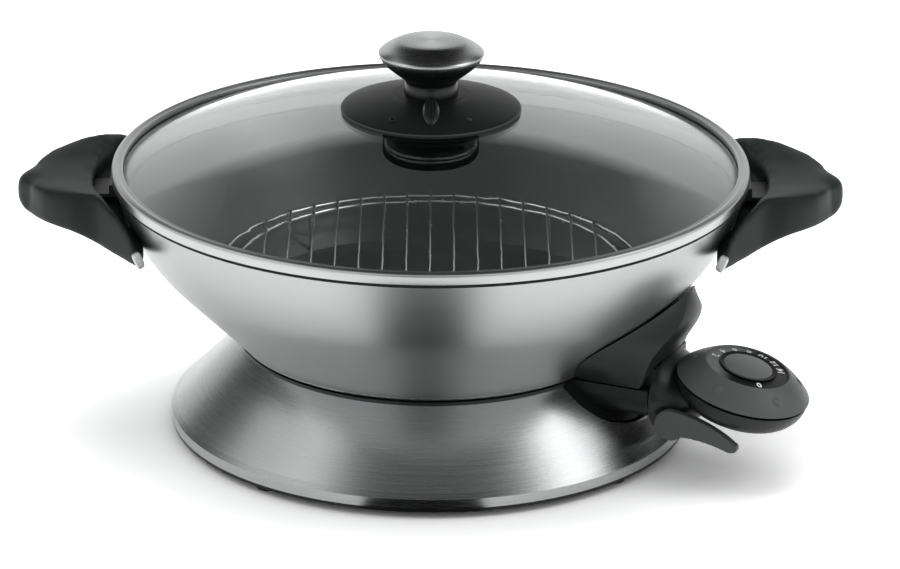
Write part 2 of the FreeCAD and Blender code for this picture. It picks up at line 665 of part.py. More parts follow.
def handle(label, heading):
    """A phenolic handle: a thick wing with a dished top, whose two arms reach round the
    rim like horns and thin out. Below the arms a web closes the gap to the bowl. Drawn
    on the +X side and turned."""
    profile = new_body(f"{label}_profile")
    low = of.arm_low_height
    side = sketch_on(profile, "XZ_Plane", [[
        (of.arm_inner - 4, low), (of.arm_inner + 3, low), Bend(70), (182, low + 2),
        (of.handle_waist, low + 5.6), Bend(60, -1), (206, of.handle_tip_low + 0.1),
        (of.handle_tip_corner, of.handle_tip_low), Bend(12),
        (of.handle_tip + 0.5, of.handle_tip_low + 7), (of.handle_tip + 0.3, of.handle_tip_top - 8),
        Bend(10), (of.handle_tip_corner, of.handle_tip_top), Bend(of.handle_top_bend, -1),
        (of.handle_crest, of.handle_crest_height), Bend(10),
        (of.handle_shoulder, of.handle_crest_height - 0.6), Bend(of.arm_top_bend),
        (of.arm_end + 0.8, of.arm_top_height), (of.arm_inner - 4, of.arm_top_height - 2)]])
    padded(profile, side, of.arm_inner_half * 2 + 12, midplane=True)
    outline = new_body(f"{label}_outline")
    plan = sketch_on(outline, "XY_Plane", [[
        (of.handle_tip_corner, -of.handle_tip_half), Bend(of.handle_tip_bend),
        (of.handle_tip_corner, of.handle_tip_half), Bend(of.handle_side_bend),
        (of.handle_waist, of.handle_waist_half), Bend(of.handle_throat_bend, -1),
        (of.handle_throat, of.handle_throat_half), Bend(400),
        (of.arm_end, of.arm_end_half), Bend(3), (of.arm_inner, of.arm_inner_half),
        Bend(of.finger_gap_bend, -1), (of.arm_inner, -of.arm_inner_half), Bend(3),
        (of.arm_end, -of.arm_end_half), Bend(400), (of.handle_throat, -of.handle_throat_half),
        Bend(of.handle_throat_bend, -1), (of.handle_waist, -of.handle_waist_half),
        Bend(of.handle_side_bend)]], lift=100)
    padded(outline, plan, 60)
    end, end_half = of.arm_inner + 1.6, of.arm_inner_half - 3
    web = sketch_on(outline, "XY_Plane", [[
        (end, -end_half), (of.web_waist, -of.web_waist_half), (of.web_front, -of.web_front_half),
        (of.web_front, of.web_front_half), (of.web_waist, of.web_waist_half),
        (end, end_half)]], lift=100)
    padded(outline, web, of.web_height - 100)
    turned(outline, [pan_space(of.web_gap)], cut=True)
    wing = joined("MultiCommon", f"{label}_wing", [profile, outline])
    hollow = new_body(f"{label}_hollow")
    brim = of.handle_crest_height - 0.6
    dish = sketch_on(hollow, "YZ_Plane", [[
        (-of.palm_half, brim), Bend(of.palm_bend), (of.palm_half, brim),
        (of.palm_half + 20, brim + 14), (-of.palm_half - 20, brim + 14)]], lift=150)
    padded(hollow, dish, 90)
    slot = of.bracket_half + 0.4
    low = of.bracket_height - 0.3
    high = of.bracket_height + of.bracket_wall + 0.3
    tongue = sketch_on(hollow, "YZ_Plane", [[(-slot, low), (slot, low), (slot, high),
                                             (-slot, high)]], lift=150)
    padded(hollow, tongue, of.bracket_reach - 150 + 0.5)
    bore = cylinder(f"{label}_bore", of.screw_radius + 0.3, 45, (of.handle_screw_place, 0, 100))
    well = cylinder(f"{label}_well", of.screw_head_radius + 0.4, 31,
                    (of.handle_screw_place, 0, 100))
    return less(label, wing, joined("MultiFuse", f"{label}_bores", [bore, well, hollow]), heading)


def handle_bracket(label, heading):
    """Steel bracket on the pan, with a tongue that goes into the handle."""
    body = new_body(label, heading)
    low = of.bracket_height
    side = sketch_on(body, "XZ_Plane", [[
        (165, low), (of.bracket_reach, low), (of.bracket_reach, low + of.bracket_wall),
        (179, low + of.bracket_wall), (179, low + 7), (165, low + 7)]])
    padded(body, side, of.bracket_half * 2, midplane=True)
    turned(body, [pan_space(0.05)], cut=True)
    bore = sketch_on(body, "XY_Plane", circles=[
        (of.handle_screw_place, 0, of.screw_radius)], lift=low - 5)
    pocketed(body, bore, reverse=True)
    return body


def handle_screws():
    """One screw up through each handle into its bracket."""
    screws = []
    for side in (-1, 1):
        place = of.handle_screw_place * side
        head_low = of.handle_tip_low + 0.3
        head = cylinder(f"handle_head_{side + 1}", of.screw_head_radius, 3, (place, 0, head_low))
        shank = cylinder(f"handle_shank_{side + 1}", of.screw_radius - 0.05, 13,
                         (place, 0, head_low + 2.9))
        screws.append(joined("MultiFuse", f"handle_screw_{side + 1}", [head, shank]))
    return joined("Compound", "handle_screws", screws)


# ---------------------------------------------------------------- lid

def lid_glass():
    """Domed glass with a hole for the knob's stem and three steam ports, which stay
    shut until the vent is turned."""
    body = new_body("lid_glass")
    wall = of.glass_wall
    turned(body, [[
        (of.lid_hole_radius, of.glass_top_height - wall), Bend(of.glass_bend - wall, -1),
        (of.glass_radius, of.glass_edge_height - wall * 1.1),
        (of.glass_radius, of.glass_edge_height), Bend(of.glass_bend),
        (of.lid_hole_radius, of.glass_top_height)]])
    port = sketch_on(body, "XY_Plane", circles=[
        (*polar(of.vent_port_circle, number(of.vent_travel)), of.vent_port_radius)], lift=170)
    made = pocketed(body, port, reverse=True)
    round_pattern(body, made, 3)
    return body


def lid_band():
    """Steel band pressed round the edge of the glass: a bead outside, a lower flange
    inside, and a skirt that drops inside the rim of the pan."""
    body = new_body("lid_band")
    out = of.band_radius
    low = of.band_low_height
    edge = of.glass_edge_height
    flange = of.band_top_height - of.band_step
    turned(body, [[
        (out - 3.7, low - 0.6), (out, low), (out, of.band_shoulder_height), Bend(2.6),
        (of.band_crest_radius, of.band_top_height), (of.band_crest_radius - 0.6, flange),
        (of.band_inner_radius + 1, flange), Bend(1.4), (of.band_inner_radius, flange - 1),
        (of.band_inner_radius, edge + 1.1), (of.glass_radius + 0.3, edge + 0.3),
        (of.glass_radius + 0.3, edge - 4.2), (of.glass_radius - 2.4, edge - 3.1),
        (of.glass_radius - 3.1, edge - 3.9), (of.band_skirt_radius - 1.2, of.band_skirt_height),
        (of.band_skirt_radius, of.band_skirt_height)]])
    return body


def lid_seal():
    """Black silicone ring under the band, which the lid rests on."""
    body = new_body("lid_seal")
    inner, out = of.seal_inner_radius, of.seal_radius
    low = of.seal_low_height
    top = of.band_low_height - 0.8
    turned(body, [[(inner, low), (out - 0.6, low), Bend(0.8), (out, low + 0.6), (out, top + 0.3),
                   (inner + 1, top), (inner, top)]])
    return body


def vent_disc():
    """Black guard round the knob, with a seat and a curved slot for the vent's ring."""
    body = new_body("vent_disc")
    low = of.disc_low_height
    seat = of.vent_ring_radius + of.vent_ring_gap
    turned(body, [[
        (of.disc_radius - 2.3, low), (of.disc_radius, low), (of.disc_radius, of.disc_edge_height),
        (of.disc_lip_radius, of.disc_lip_height), Bend(of.disc_bend),
        (seat, of.disc_seat_height + 1.3), (seat, of.disc_seat_height),
        (9.4, of.disc_seat_height), (9.4, low + 3.2), (12.6, low + 3.2),
        (12.6, of.disc_seat_height - of.disc_wall), (seat + 4, of.disc_seat_height - of.disc_wall),
        (of.disc_radius - 4.6, of.disc_lip_height - 1.6)]])
    reach = of.vent_pin_circle + of.vent_pin_radius + 0.3
    near = of.vent_pin_circle - of.vent_pin_radius - 0.3
    slant = 0.5
    level = 0.8660254
    slot = sketch_on(body, "XY_Plane", [[
        (-reach * slant, -reach * level), Bend(reach), (reach * slant, -reach * level),
        (near * slant, -near * level), Bend(near, -1), (-near * slant, -near * level)]],
        lift=low)
    pocketed(body, slot, reverse=True)
    return body


def vent_ring():
    """Ring under the knob with a leaf-shaped tab that turns it."""
    body = new_body("vent_ring")
    base = of.disc_seat_height + 0.2
    bore = of.knob_neck_radius + 0.4
    turned(body, [[(bore, base), (of.vent_ring_radius, base),
                   (of.vent_ring_radius, of.disc_seat_height + 1.4), (bore, base + 2.3)]])
    start, end = -of.vent_tab_start, -of.vent_tab_end
    leaf = sketch_on(body, "XY_Plane", [[(0, end), Bend(of.vent_tab_bend), (0, start),
                                         Bend(of.vent_tab_bend)]], lift=base - 6)
    padded(body, leaf, 14)
    rise = of.vent_tab_rise
    clear = 0.35
    fall = of.disc_lip_height
    brow = of.disc_seat_height + 1.3
    far = of.disc_lip_radius
    under = [(0, fall - 10), (far, fall - 10), (far, fall + clear), Bend(of.disc_bend),
             (of.vent_ring_radius, brow + clear), (of.vent_ring_radius, base), (0, base)]
    over = [(bore - 1, brow + rise), (of.vent_ring_radius, brow + rise),
            Bend(of.disc_bend, -1), (far, fall + rise), (far, brow + 20), (bore - 1, brow + 20)]
    turned(body, [under], cut=True)
    turned(body, [over], cut=True)
    return body


def vent_shutter():
    """Flat ring on the glass whose holes open and close the steam ports."""
    body = new_body("vent_shutter")
    low = of.glass_top_height + 0.3
    turned(body, [[(13.2, low), (25.5, low), (25.5, low + 1), (13.2, low + 1)]])
    port = sketch_on(body, "XY_Plane", circles=[
        (of.vent_port_circle, 0, of.vent_port_radius)], lift=low - 1)
    made = pocketed(body, port, reverse=True)
    round_pattern(body, made, 3)
    return body


def vent_pin():
    """Pin through the guard's curved slot, from the shutter to the ring."""
    low = of.glass_top_height + 1.3
    pin = cylinder("vent_pin", of.vent_pin_radius, of.disc_seat_height + 0.2 - low,
                   (0, -of.vent_pin_circle, low))
    pin.Label = "vent_pin"
    return pin


def vent_boss():
    """Black cup under the glass, with a stem through it and steam holes in its floor."""
    body = new_body("vent_boss")
    low = of.boss_low_height
    top = of.glass_top_height - of.glass_wall - 1.1
    wall = of.boss_wall
    bore = of.lid_screw_radius + 0.3
    turned(body, [[
        (bore, low + 3.2), (of.lid_screw_head_radius + 0.5, low + 3.2),
        (of.lid_screw_head_radius + 0.5, low), (of.boss_radius - 5, low), Bend(5.2),
        (of.boss_radius, low + 5), (of.boss_radius, top), (of.boss_radius - wall, top),
        (of.boss_radius - wall, low + 5.4), (of.boss_radius - wall - 2.6, low + 3 + wall),
        (7.4, low + 3 + wall), (7.4, of.disc_low_height + 2.9), (bore, of.disc_low_height + 2.9)]])
    port = sketch_on(body, "XY_Plane", circles=[
        (of.boss_port_circle, 0, of.boss_port_radius)], lift=low - 1)
    made = pocketed(body, port, 12, reverse=True)
    round_pattern(body, made, 6)
    return body


def knob_body():
    """Black core of the knob: a short neck and a flared underside."""
    body = new_body("knob_body")
    low = of.knob_low_height
    top = of.cap_top_height - of.cap_crown - of.cap_wall - 1
    bore = of.lid_screw_radius + 0.1
    turned(body, [[
        (bore, low), (of.knob_neck_radius - 0.9, low), Bend(1), (of.knob_neck_radius, low + 0.9),
        (of.knob_neck_radius, of.knob_neck_height), Bend(6, -1),
        (of.knob_sweep_radius, of.knob_sweep_height),
        (of.knob_flare_radius, of.knob_flare_height), Bend(24),
        (of.knob_core_radius, of.cap_low_height - 0.6), (of.knob_core_radius, of.cap_lip_height - 2),
        (of.cap_flat_radius - 2, top), (0, top), (0, top - 9), (bore, top - 9)]])
    return body


def knob_cap():
    """Brushed steel cap pressed over the knob's core, drawn in to a lip below its widest
    line."""
    body = new_body("knob_cap")
    low = of.cap_low_height
    top = of.cap_top_height - of.cap_crown
    turned(body, [[
        (of.knob_core_radius + 0.2, low), (of.cap_low_radius - 0.4, low - 0.3),
        (of.cap_low_radius, low), Bend(14), (of.cap_radius, of.cap_lip_height), Bend(13),
        (of.cap_flat_radius, top), crown(of.cap_flat_radius, of.cap_crown),
        (0, of.cap_top_height), (0, top - of.cap_wall), (of.cap_flat_radius - 1, top - of.cap_wall),
        (of.cap_radius - of.cap_wall, of.cap_lip_height - 0.6)]])
    return body


def lid_screw():
    """Screw up through the boss and the stem into the knob."""
    low = of.boss_low_height + 0.8
    head = cylinder("lid_screw_head", of.lid_screw_head_radius, 2.3, (0, 0, low))
    shank = cylinder("lid_screw_shank", of.lid_screw_radius, of.cap_top_height - 12 - low,
                     (0, 0, low + 0.2))
    return joined("MultiFuse", "lid_screw", [head, shank])


# ---------------------------------------------------------------- rack

def rack_rings():
    """The two wire rings of the rack."""
    rings = []
    for name, radius in (("outer", of.rack_outer_radius), ("inner", of.rack_inner_radius)):
        ring = doc.addObject("Part::Torus", f"rack_ring_{name}")
        bind(ring, "Radius1", radius)
        bind(ring, "Radius2", of.rack_ring_wire)
        bind(ring, "Placement.Base.z", of.rack_height)
        rings.append(ring)
    return joined("Compound", "rack_rings", rings)


def rack_wires():
    """Parallel wires welded across the outer ring."""
    wires = []
    height = of.rack_height + of.rack_ring_wire + of.rack_wire - of.rack_weld
    for place in range(-7, 8):
        x = of.rack_pitch * place
        half = (of.rack_outer_radius * of.rack_outer_radius - x * x).root() + 1
        wires.append(cylinder(f"rack_wire_{place + 7}", of.rack_wire, half * 2,
                              (x, -half, height), V(0, 1, 0)))
    return joined("Compound", "rack_wires", wires)


def rack_legs():
    """Four wire legs under the inner ring."""
    legs = []
    x = of.rack_leg_offset
    y = (of.rack_inner_radius * of.rack_inner_radius - x * x).root()
    length = of.rack_height - of.rack_leg_foot
    for name, side, end in (("a", 1, 1), ("b", 1, -1), ("c", -1, 1), ("d", -1, -1)):
        legs.append(cylinder(f"rack_leg_{name}", of.rack_leg_wire, length,
                             (x * side, y * end, of.rack_leg_foot)))
    return joined("Compound", "rack_legs", legs)


# ---------------------------------------------------------------- probe

def at_dial(made):
    """Place a piece drawn about Z on the dial's tilted axis, in the probe's frame."""
    tilt = FreeCAD.Rotation(V(0, 1, 0), number(of.dial_tilt))
    made.Placement = FreeCAD.Placement(V(number(of.dial_reach), 0, number(of.dial_height)), tilt)
    return made


def turned_to_probe(made):
    """Turn a placed piece from the probe's frame to the part's frame."""
    turn = FreeCAD.Placement(V(), FreeCAD.Rotation(UP, number(of.probe_heading)))
    made.Placement = turn.multiply(made.Placement)
    return made


def oval(name, reach, height, half, half_height):
    """An upright ellipse across the probe's axis."""
    made = doc.addObject("Part::Ellipse", name)
    across = FreeCAD.Rotation(V(0, 1, 0), UP, V(1, 0, 0), "ZXY")
    made.Placement = FreeCAD.Placement(V(number(reach), 0, number(height)), across)
    bind(made, "MajorRadius", half)
    bind(made, "MinorRadius", half_height)
    bind(made, "Placement.Base.x", reach)
    bind(made, "Placement.Base.z", height)
    return made


def probe_body():
    """Black moulded head of the probe: a nose that fills the socket, and an oval head
    that runs without a step into the fixed dish under the dial."""
    dish = new_body("probe_dish")
    low = -of.dish_low
    rim = of.dial_radius - 0.6
    top = -of.dish_rim_drop
    turned(dish, [[
        (of.spindle_radius + 0.3, low + 3), (0, low + 3), (0, low), (of.dish_flat_radius, low),
        Bend(of.dish_bend), (rim, top - 1.2), (rim, top), (of.dial_radius - 3, top),
        (of.dial_radius - 3, -2.6), (of.spindle_radius + 0.3, -2.6)]])
    at_dial(dish)
    start = of.socket_mouth + of.head_gap
    neck = doc.addObject("Part::Loft", "probe_neck")
    neck.Solid = True
    neck.Sections = [
        oval("head_back", start, of.head_height, of.head_half, of.head_half_height),
        oval("head_throat", of.throat_reach, of.throat_height, of.throat_half,
             of.throat_half_height),
        oval("neck_waist", of.neck_reach, of.neck_height, of.neck_half, of.neck_half_height),
        oval("neck_thin", of.neck_thin_reach, of.neck_thin_height, of.neck_thin_half,
             of.neck_thin_half_height),
        oval("neck_front", of.neck_end, of.neck_end_height, of.neck_end_half,
             of.neck_end_half_height)]
    nose = new_body("probe_nose")
    half = of.nose_half
    section = sketch_on(nose, "YZ_Plane", [[
        (-half, of.nose_top), (-half, of.nose_shoulder), Bend(12),
        (-half + 9, of.nose_low), (half - 9, of.nose_low), Bend(12),
        (half, of.nose_shoulder), (half, of.nose_top)]], lift=of.nose_start)
    padded(nose, section, start - of.nose_start + 0.5)
    bosses = [cylinder("lever_boss", of.lever_disc_radius - 1.8, 20,
                       (of.lever_reach, -of.lever_offset + 0.4, of.lever_height), V(0, 1, 0)),
              cylinder("gland_boss", of.gland_radius + 1, 16,
                       (of.gland_reach, of.gland_start - 16.1, of.gland_height), V(0, 1, 0))]
    whole = joined("MultiFuse", "probe_whole", [dish, neck, nose, *bosses])
    bores = [cylinder(f"sleeve_bore_{side}", of.sleeve_radius, 18,
                      (of.nose_start - 1, of.pin_spread * side, of.live_height), V(1, 0, 0))
             for side in (-1, 1)]
    bores.append(cylinder("rod_bore", of.rod_radius, 20,
                          (of.nose_start - 1, 0, of.live_height), V(1, 0, 0)))
    bores.append(cylinder("pin_bore", of.lever_pin_radius, 14,
                          (of.lever_reach, -of.lever_offset, of.lever_height), V(0, 1, 0)))
    bores.append(cylinder("gland_bore", of.gland_radius - 2, 10,
                          (of.gland_reach, of.gland_start - 4, of.gland_height), V(0, 1, 0)))
    return less("probe_body", whole, joined("Compound", "probe_bores", bores),
                of.probe_heading)


def sensor_rod():
    """Steel rod that carries the pan's heat to the thermostat."""
    rod = cylinder("rod_shank", of.rod_radius, of.nose_start + 18 - of.rod_start,
                   (of.rod_start, 0, of.live_height), V(1, 0, 0))
    return joined("Compound", "sensor_rod", [rod], of.probe_heading)


def contact_sleeves():
    """Two brass sleeves in the nose that take the pan's pins."""
    body = new_body("contact_sleeves", of.probe_heading)
    circles = []
    for side in (-1, 1):
        circles.append((of.pin_spread * side, of.live_height, of.sleeve_radius))
        circles.append((of.pin_spread * side, of.live_height, of.sleeve_bore))
    rings = sketch_on(body, "YZ_Plane", circles=circles, lift=of.nose_start + 0.5)
    padded(body, rings, 15.5)
    return body


def cord_gland():
    """Tapered rubber gland for the supply lead, on the hidden side of the neck."""
    outside = doc.addObject("Part::Cone", "gland_outside")
    bind(outside, "Radius1", of.gland_radius)
    bind(outside, "Radius2", of.gland_radius - 2)
    bind(outside, "Height", of.gland_length)
    plug = cylinder("gland_plug", of.gland_radius - 2.2, 4, (0, 0, -3.5))
    inside = cylinder("gland_inside", of.gland_radius - 3.2, of.gland_length, (0, 0, 3))
    made = less("cord_gland", joined("MultiFuse", "gland_whole", [outside, plug]), inside)
    made.Placement = FreeCAD.Placement(
        V(number(of.gland_reach), number(of.gland_start), number(of.gland_height)),
        FreeCAD.Rotation(UP, V(0, 1, 0)))
    return turned_to_probe(made)


GRIP_PLACES = (194, 260, 326, 32, 128)


def grip_bump(place):
    """A low round bump on the flank of the dial, the crown of a ball."""
    bump = doc.addObject("Part::Sphere", f"grip_{place}")
    bind(bump, "Radius", of.grip_bend)
    bump.Angle1 = 52
    lean = FreeCAD.Rotation(V(0, 1, 0), number(of.grip_lean))
    turn = FreeCAD.Rotation(UP, place)
    sunk = of.grip_bend - 1.1
    slant = math.radians(number(of.grip_lean))
    circle = number(of.grip_circle) - number(sunk) * math.sin(slant)
    height = number(of.grip_rise) - number(sunk) * math.cos(slant)
    x, y = polar(circle, place)
    bump.Placement = FreeCAD.Placement(V(x, y, height), turn.multiply(lean))
    return bump


def dial_dome():
    """The turning dial: a domed shell with grip bumps and a sunk ring for its numbers."""
    shell = new_body("dial_shell")
    wall = of.dial_wall
    low = of.dial_rise - 3
    turned(shell, [[
        (of.dial_radius - wall, of.dial_gap), (of.dial_radius, of.dial_gap),
        (of.dial_radius, of.dial_rim), Bend(of.dial_bend),
        (of.dial_flat_radius, of.dial_flat_rise), (of.number_ring_radius + 0.5,
                                                   of.dial_flat_rise + 0.1),
        (of.number_ring_radius, of.number_ring_rise),
        (of.cap_ring_radius + 0.2, of.number_ring_rise + 0.4),
        (of.cap_ring_radius + 0.2, low), (of.spindle_radius, low),
        (of.spindle_radius, low - wall), (of.dial_flat_radius - 4, low - wall - 0.2),
        (of.dial_radius - wall - 3, of.dial_rim + 2)]])
    made = joined("MultiFuse", "dial_dome", [shell, *[grip_bump(place) for place in GRIP_PLACES]])
    return turned_to_probe(at_dial(made))


def dial_ring():
    """Black ring round the dial's centre cap."""
    body = new_body("dial_ring")
    low = of.dial_rise - 3
    turned(body, [[(of.centre_cap_radius + 0.1, low), (of.cap_ring_radius, low),
                   (of.cap_ring_radius, of.dial_rise + 0.1),
                   (of.centre_cap_radius + 0.1, of.dial_rise - 0.1)]])
    return turned_to_probe(at_dial(body))


def dial_cap():
    """Slightly domed centre cap of the dial."""
    body = new_body("dial_cap")
    low = of.dial_rise - 3
    turned(body, [[(0, low), (of.centre_cap_radius, low),
                   (of.centre_cap_radius, of.dial_rise - 0.2),
                   crown(of.centre_cap_radius, 0.8), (0, of.dial_rise + 0.6)]])
    return turned_to_probe(at_dial(body))


def dial_shaft():
    """Spindle that turns the thermostat."""
    body = new_body("dial_shaft")
    turned(body, [[(0, 3.2 - of.dish_low), (of.spindle_radius, 3.2 - of.dish_low),
                   (of.spindle_radius, of.dial_rise - 3), (0, of.dial_rise - 3)]])
    return turned_to_probe(at_dial(body))


def at_lever(made):
    """Place a piece on the lever's pivot, with its own X along the tongue."""
    drop = FreeCAD.Rotation(V(0, 1, 0), number(of.lever_drop))
    made.Placement = FreeCAD.Placement(
        V(number(of.lever_reach), -number(of.lever_offset), number(of.lever_height)), drop)
    return turned_to_probe(made)


def eject_lever():
    """Flat lever with a round hub and a leaf-shaped tongue, pressed to push the probe
    out. It turns on a pin in a blind bore."""
    body = new_body("eject_lever")
    length = of.lever_length
    low = of.lever_tip_low
    crest = of.lever_shoulder_rise + 1.1
    tongue = sketch_on(body, "XZ_Plane", [[
        (0, 0.5 - of.lever_disc_radius), (2.5, 0.5 - of.lever_disc_radius), Bend(14, -1),
        (of.lever_waist, -low), Bend(80, -1), (length - 5.8, -low), Bend(8),
        (length - 1.4, 0.7 - low), Bend(2.6), (length, 0), Bend(2.2), (length - 1.9, 1.9),
        Bend(70), (of.lever_shoulder, of.lever_shoulder_rise), Bend(60), (6, crest),
        (0, of.lever_disc_radius - 0.1)]])
    padded(body, tongue, of.lever_wall)
    hub = sketch_on(body, "XZ_Plane", circles=[(0, 0, of.lever_disc_radius)])
    padded(body, hub, of.lever_wall)
    bore = sketch_on(body, "XZ_Plane", circles=[(0, 0, of.lever_pin_radius + 0.08)])
    pocketed(body, bore, of.lever_pin_depth + 0.2, reverse=True)
    return at_lever(body)


def lever_pin():
    """Pivot pin of the lever, pressed into the probe's head."""
    pin = cylinder("lever_pin_shank", of.lever_pin_radius, of.lever_pin_depth + 12.7,
                   (0, -of.lever_pin_depth, 0), V(0, 1, 0))
    return at_lever(joined("Compound", "lever_pin", [pin]))


# ---------------------------------------------------------------- export

def check_and_export(parts):
    doc.recompute()
    for item in doc.Objects:
        if "Invalid" in item.State or "Error" in item.State:
            raise RuntimeError(f"{item.Label} has failed: {item.State}")
    os.makedirs("parts", exist_ok=True)
    for part in parts:
        shape = part.Shape
        if shape.isNull() or not shape.isValid():
            raise RuntimeError(f"{part.Label} has no valid shape")
        shape.exportStep(f"parts/{part.Label}.step")
        print(f"{part.Label:22s} {len(shape.Solids)} solids {shape.Volume / 1000:9.2f} cm3")


MAKERS = [
    base_cone, base_deck, base_floor, rubber_feet, base_screws, probe_cradle,
    bowl_skin, wok_bowl, bottom_cover, heating_element, terminal_pins, sensor_tube,
    probe_shroud, handle_screws, lid_glass, lid_band, lid_seal, vent_disc, vent_ring,
    vent_shutter, vent_pin, vent_boss, knob_body, knob_cap, lid_screw, rack_rings, rack_wires, rack_legs,
    probe_body, sensor_rod, contact_sleeves, cord_gland, dial_dome, dial_ring, dial_cap,
    dial_shaft, eject_lever, lever_pin,
]
SIDES = {"right": 0, "left": 180}

pieces = [make() for make in MAKERS]
for side, heading in SIDES.items():
    pieces.append(handle(f"handle_{side}", heading))
    pieces.append(handle_bracket(f"handle_bracket_{side}", heading))
check_and_export(pieces)
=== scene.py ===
"""Electric wok: finishes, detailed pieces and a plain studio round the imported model.

Metres, +Z up, in the model's own frame. The pan's middle is on the Z axis, its handles
lie along X, and the temperature probe leaves it towards PROBE_HEADING.
"""

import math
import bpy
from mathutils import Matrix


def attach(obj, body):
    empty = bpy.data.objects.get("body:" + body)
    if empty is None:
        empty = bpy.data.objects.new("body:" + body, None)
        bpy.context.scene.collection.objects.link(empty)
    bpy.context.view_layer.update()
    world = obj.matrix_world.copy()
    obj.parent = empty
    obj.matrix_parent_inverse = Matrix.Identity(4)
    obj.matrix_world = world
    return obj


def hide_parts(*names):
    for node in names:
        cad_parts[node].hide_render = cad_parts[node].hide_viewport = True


bl_info = {
    "name": "Electric Wok",
    "version": (1, 0, 0),
    "blender": (4, 5, 0),
    "location": "3D View > Sidebar > Wok",
    "description": "Dresses an electric wok in its finishes and sets up a studio for it",
    "category": "Object",
}

import bpy
from mathutils import Matrix, Quaternion, Vector

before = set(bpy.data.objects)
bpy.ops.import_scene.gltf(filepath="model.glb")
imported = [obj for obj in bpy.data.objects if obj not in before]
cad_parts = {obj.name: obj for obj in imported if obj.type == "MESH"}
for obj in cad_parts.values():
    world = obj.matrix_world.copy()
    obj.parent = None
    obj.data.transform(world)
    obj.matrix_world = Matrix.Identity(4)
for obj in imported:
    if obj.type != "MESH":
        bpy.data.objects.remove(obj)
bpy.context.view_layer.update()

PROBE_HEADING = math.radians(-24)
DIAL_TILT = math.radians(14.2)
DIAL_CENTRE = Vector((0.172660, -0.076873, 0.0517))


# ---------------------------------------------------------------- measures
#
# Metres and radians, but for the profiles of the turned pieces, whose points are
# (radius, height) in millimetres, and the places of the dial's numbers, in degrees.

MM_PER_METRE = 1000
BAND_PROFILE = [
    (174.3, 147.4), (178.0, 148.0), (178.0, 152.4), (177.5, 153.5), (176.6, 154.2),
    (175.5, 154.5), (174.9, 153.9), (173.2, 153.6), (172.3, 153.9), (171.6, 153.6),
    (171.4, 151.2), (173.3, 150.4), (173.3, 145.9), (170.6, 147.0), (169.9, 146.2),
    (171.9, 141.5), (173.1, 141.5), (174.3, 147.4)]
GUARD_PROFILE = [
    (9.4, 188.6), (12.6, 188.6), (12.6, 191.2), (23.5, 191.0), (45.0, 186.0),
    (48.4, 185.3), (50.2, 185.1), (50.3, 186.5), (49.9, 187.1), (47.0, 188.2),
    (42.0, 189.9), (36.0, 191.5), (30.0, 192.9), (24.0, 194.0), (19.35, 194.7),
    (19.35, 193.4), (9.4, 193.4), (9.4, 188.6)]
COLLAR_PROFILE = [
    (14.8, 193.7), (19.3, 193.7), (19.3, 194.72), (15.2, 195.5), (14.8, 195.3),
    (14.8, 193.7)]
KNOB_CORE_PROFILE = [
    (0, 194.8), (14.6, 194.8), (14.6, 200.7), (14.2, 201.6), (14.6, 203.0),
    (15.8, 204.3), (17.4, 205.6), (20.5, 208.0), (26.0, 212.6), (27.4, 214.1),
    (28.2, 216.4), (0, 216.4)]
KNOB_CAP_PROFILE = [
    (0, 216.5), (28.5, 216.5), (28.9, 216.7), (29.5, 218.4), (29.3, 219.0),
    (28.4, 219.9), (26.0, 221.7), (23.0, 223.4), (20.5, 224.6), (18.5, 225.3),
    (16.5, 225.7), (12.0, 225.95), (6.0, 226.15), (0, 226.2)]
BAND_STEPS = 256
COLLAR_STEPS = 96
FINE_EDGE = 0.0002
KNOB_CORE_EDGE = 0.0003

# Vertices closer than this are one: in a CAD node's mesh, and in a turned piece.
NODE_WELD = 0.000005
LATHE_WELD = 0.000002

# The boss under the glass and its screw, which reach further down than the CAD's.
BOSS_CUT_HEIGHT = 0.172
BOSS_DROP = 0.0045

# The moulds of the handles and the lever: the size of their voxels, and how often their
# surface is smoothed.
HANDLE_GRAIN = 0.0010
HANDLE_ROUNDS = 20
HANDLE_LAST_ROUNDS = 45
LEVER_GRAIN = 0.0005
LEVER_ROUNDS = 5

# What is drawn on a handle: the palm's outer end, its shoulders and the arms' tips. Each
# has the part that moves, how far it moves, and how far from it the rest follows.
END_FROM = 0.2260
END_ASIDE = 0.012
END_ABOVE = 0.1400
END_IN = 0.0020
END_DOWN = 0.0012
END_REACH = 0.012
SHOULDER_FROM = 0.198
SHOULDER_TO = 0.221
SHOULDER_ASIDE = 0.032
SHOULDER_ABOVE = 0.1430
SHOULDER_OUT = 0.0034
SHOULDER_UP = 0.0010
SHOULDER_REACH = 0.017
TIP_PLACE = (0.1615, 0.0850, 0.124)
TIP_SIZE = 0.011
TIP_IN = 0.0040
TIP_REACH = 0.042

# A strap's end: its middle, its size, the way it faces in plan and its lean.
STRAP_PLACE = (0.1590, 0.0866, 0.1270)
STRAP_SIZE = (0.0050, 0.0022, 0.0104)
STRAP_FACING = (161, 86)
STRAP_LEAN = math.radians(24)

# The vent's tab: a unit ball with a groove across it, then stretched, leant and placed.
GROOVE_ABOVE = 0.35
GROOVE_HALF_WIDTH = 0.06
GROOVE_DEPTH = 0.42
GROOVE_REACH = 0.32
TAB_HALF_SIZE = (0.0048, 0.0132, 0.0030)
TAB_PLACE = (0, -0.0283, 0.1934)
TAB_LEAN = math.radians(13.4)

# Where two grey ramps start: the guard's painted highlight, a bright ring round its edge, at
# a radius, and the painted sheen on the knob's neck, a lighter stretch, at a height in
# centimetres.
GUARD_HIGHLIGHT_RADIUS = 0.0490
NECK_SHEEN_HEIGHT_CM = 19.4

# The two raised marks on the guard.
MARK_PLACE = (0, -0.0396, 0.1908)
MARK_LEAN = math.radians(15.8)
MARK_TURN = math.radians(32)
RING_RADIUS = 0.0017
RING_WIRE_RADIUS = 0.00032
DOT_RADIUS = 0.0016
DOT_FLATNESS = 0.25

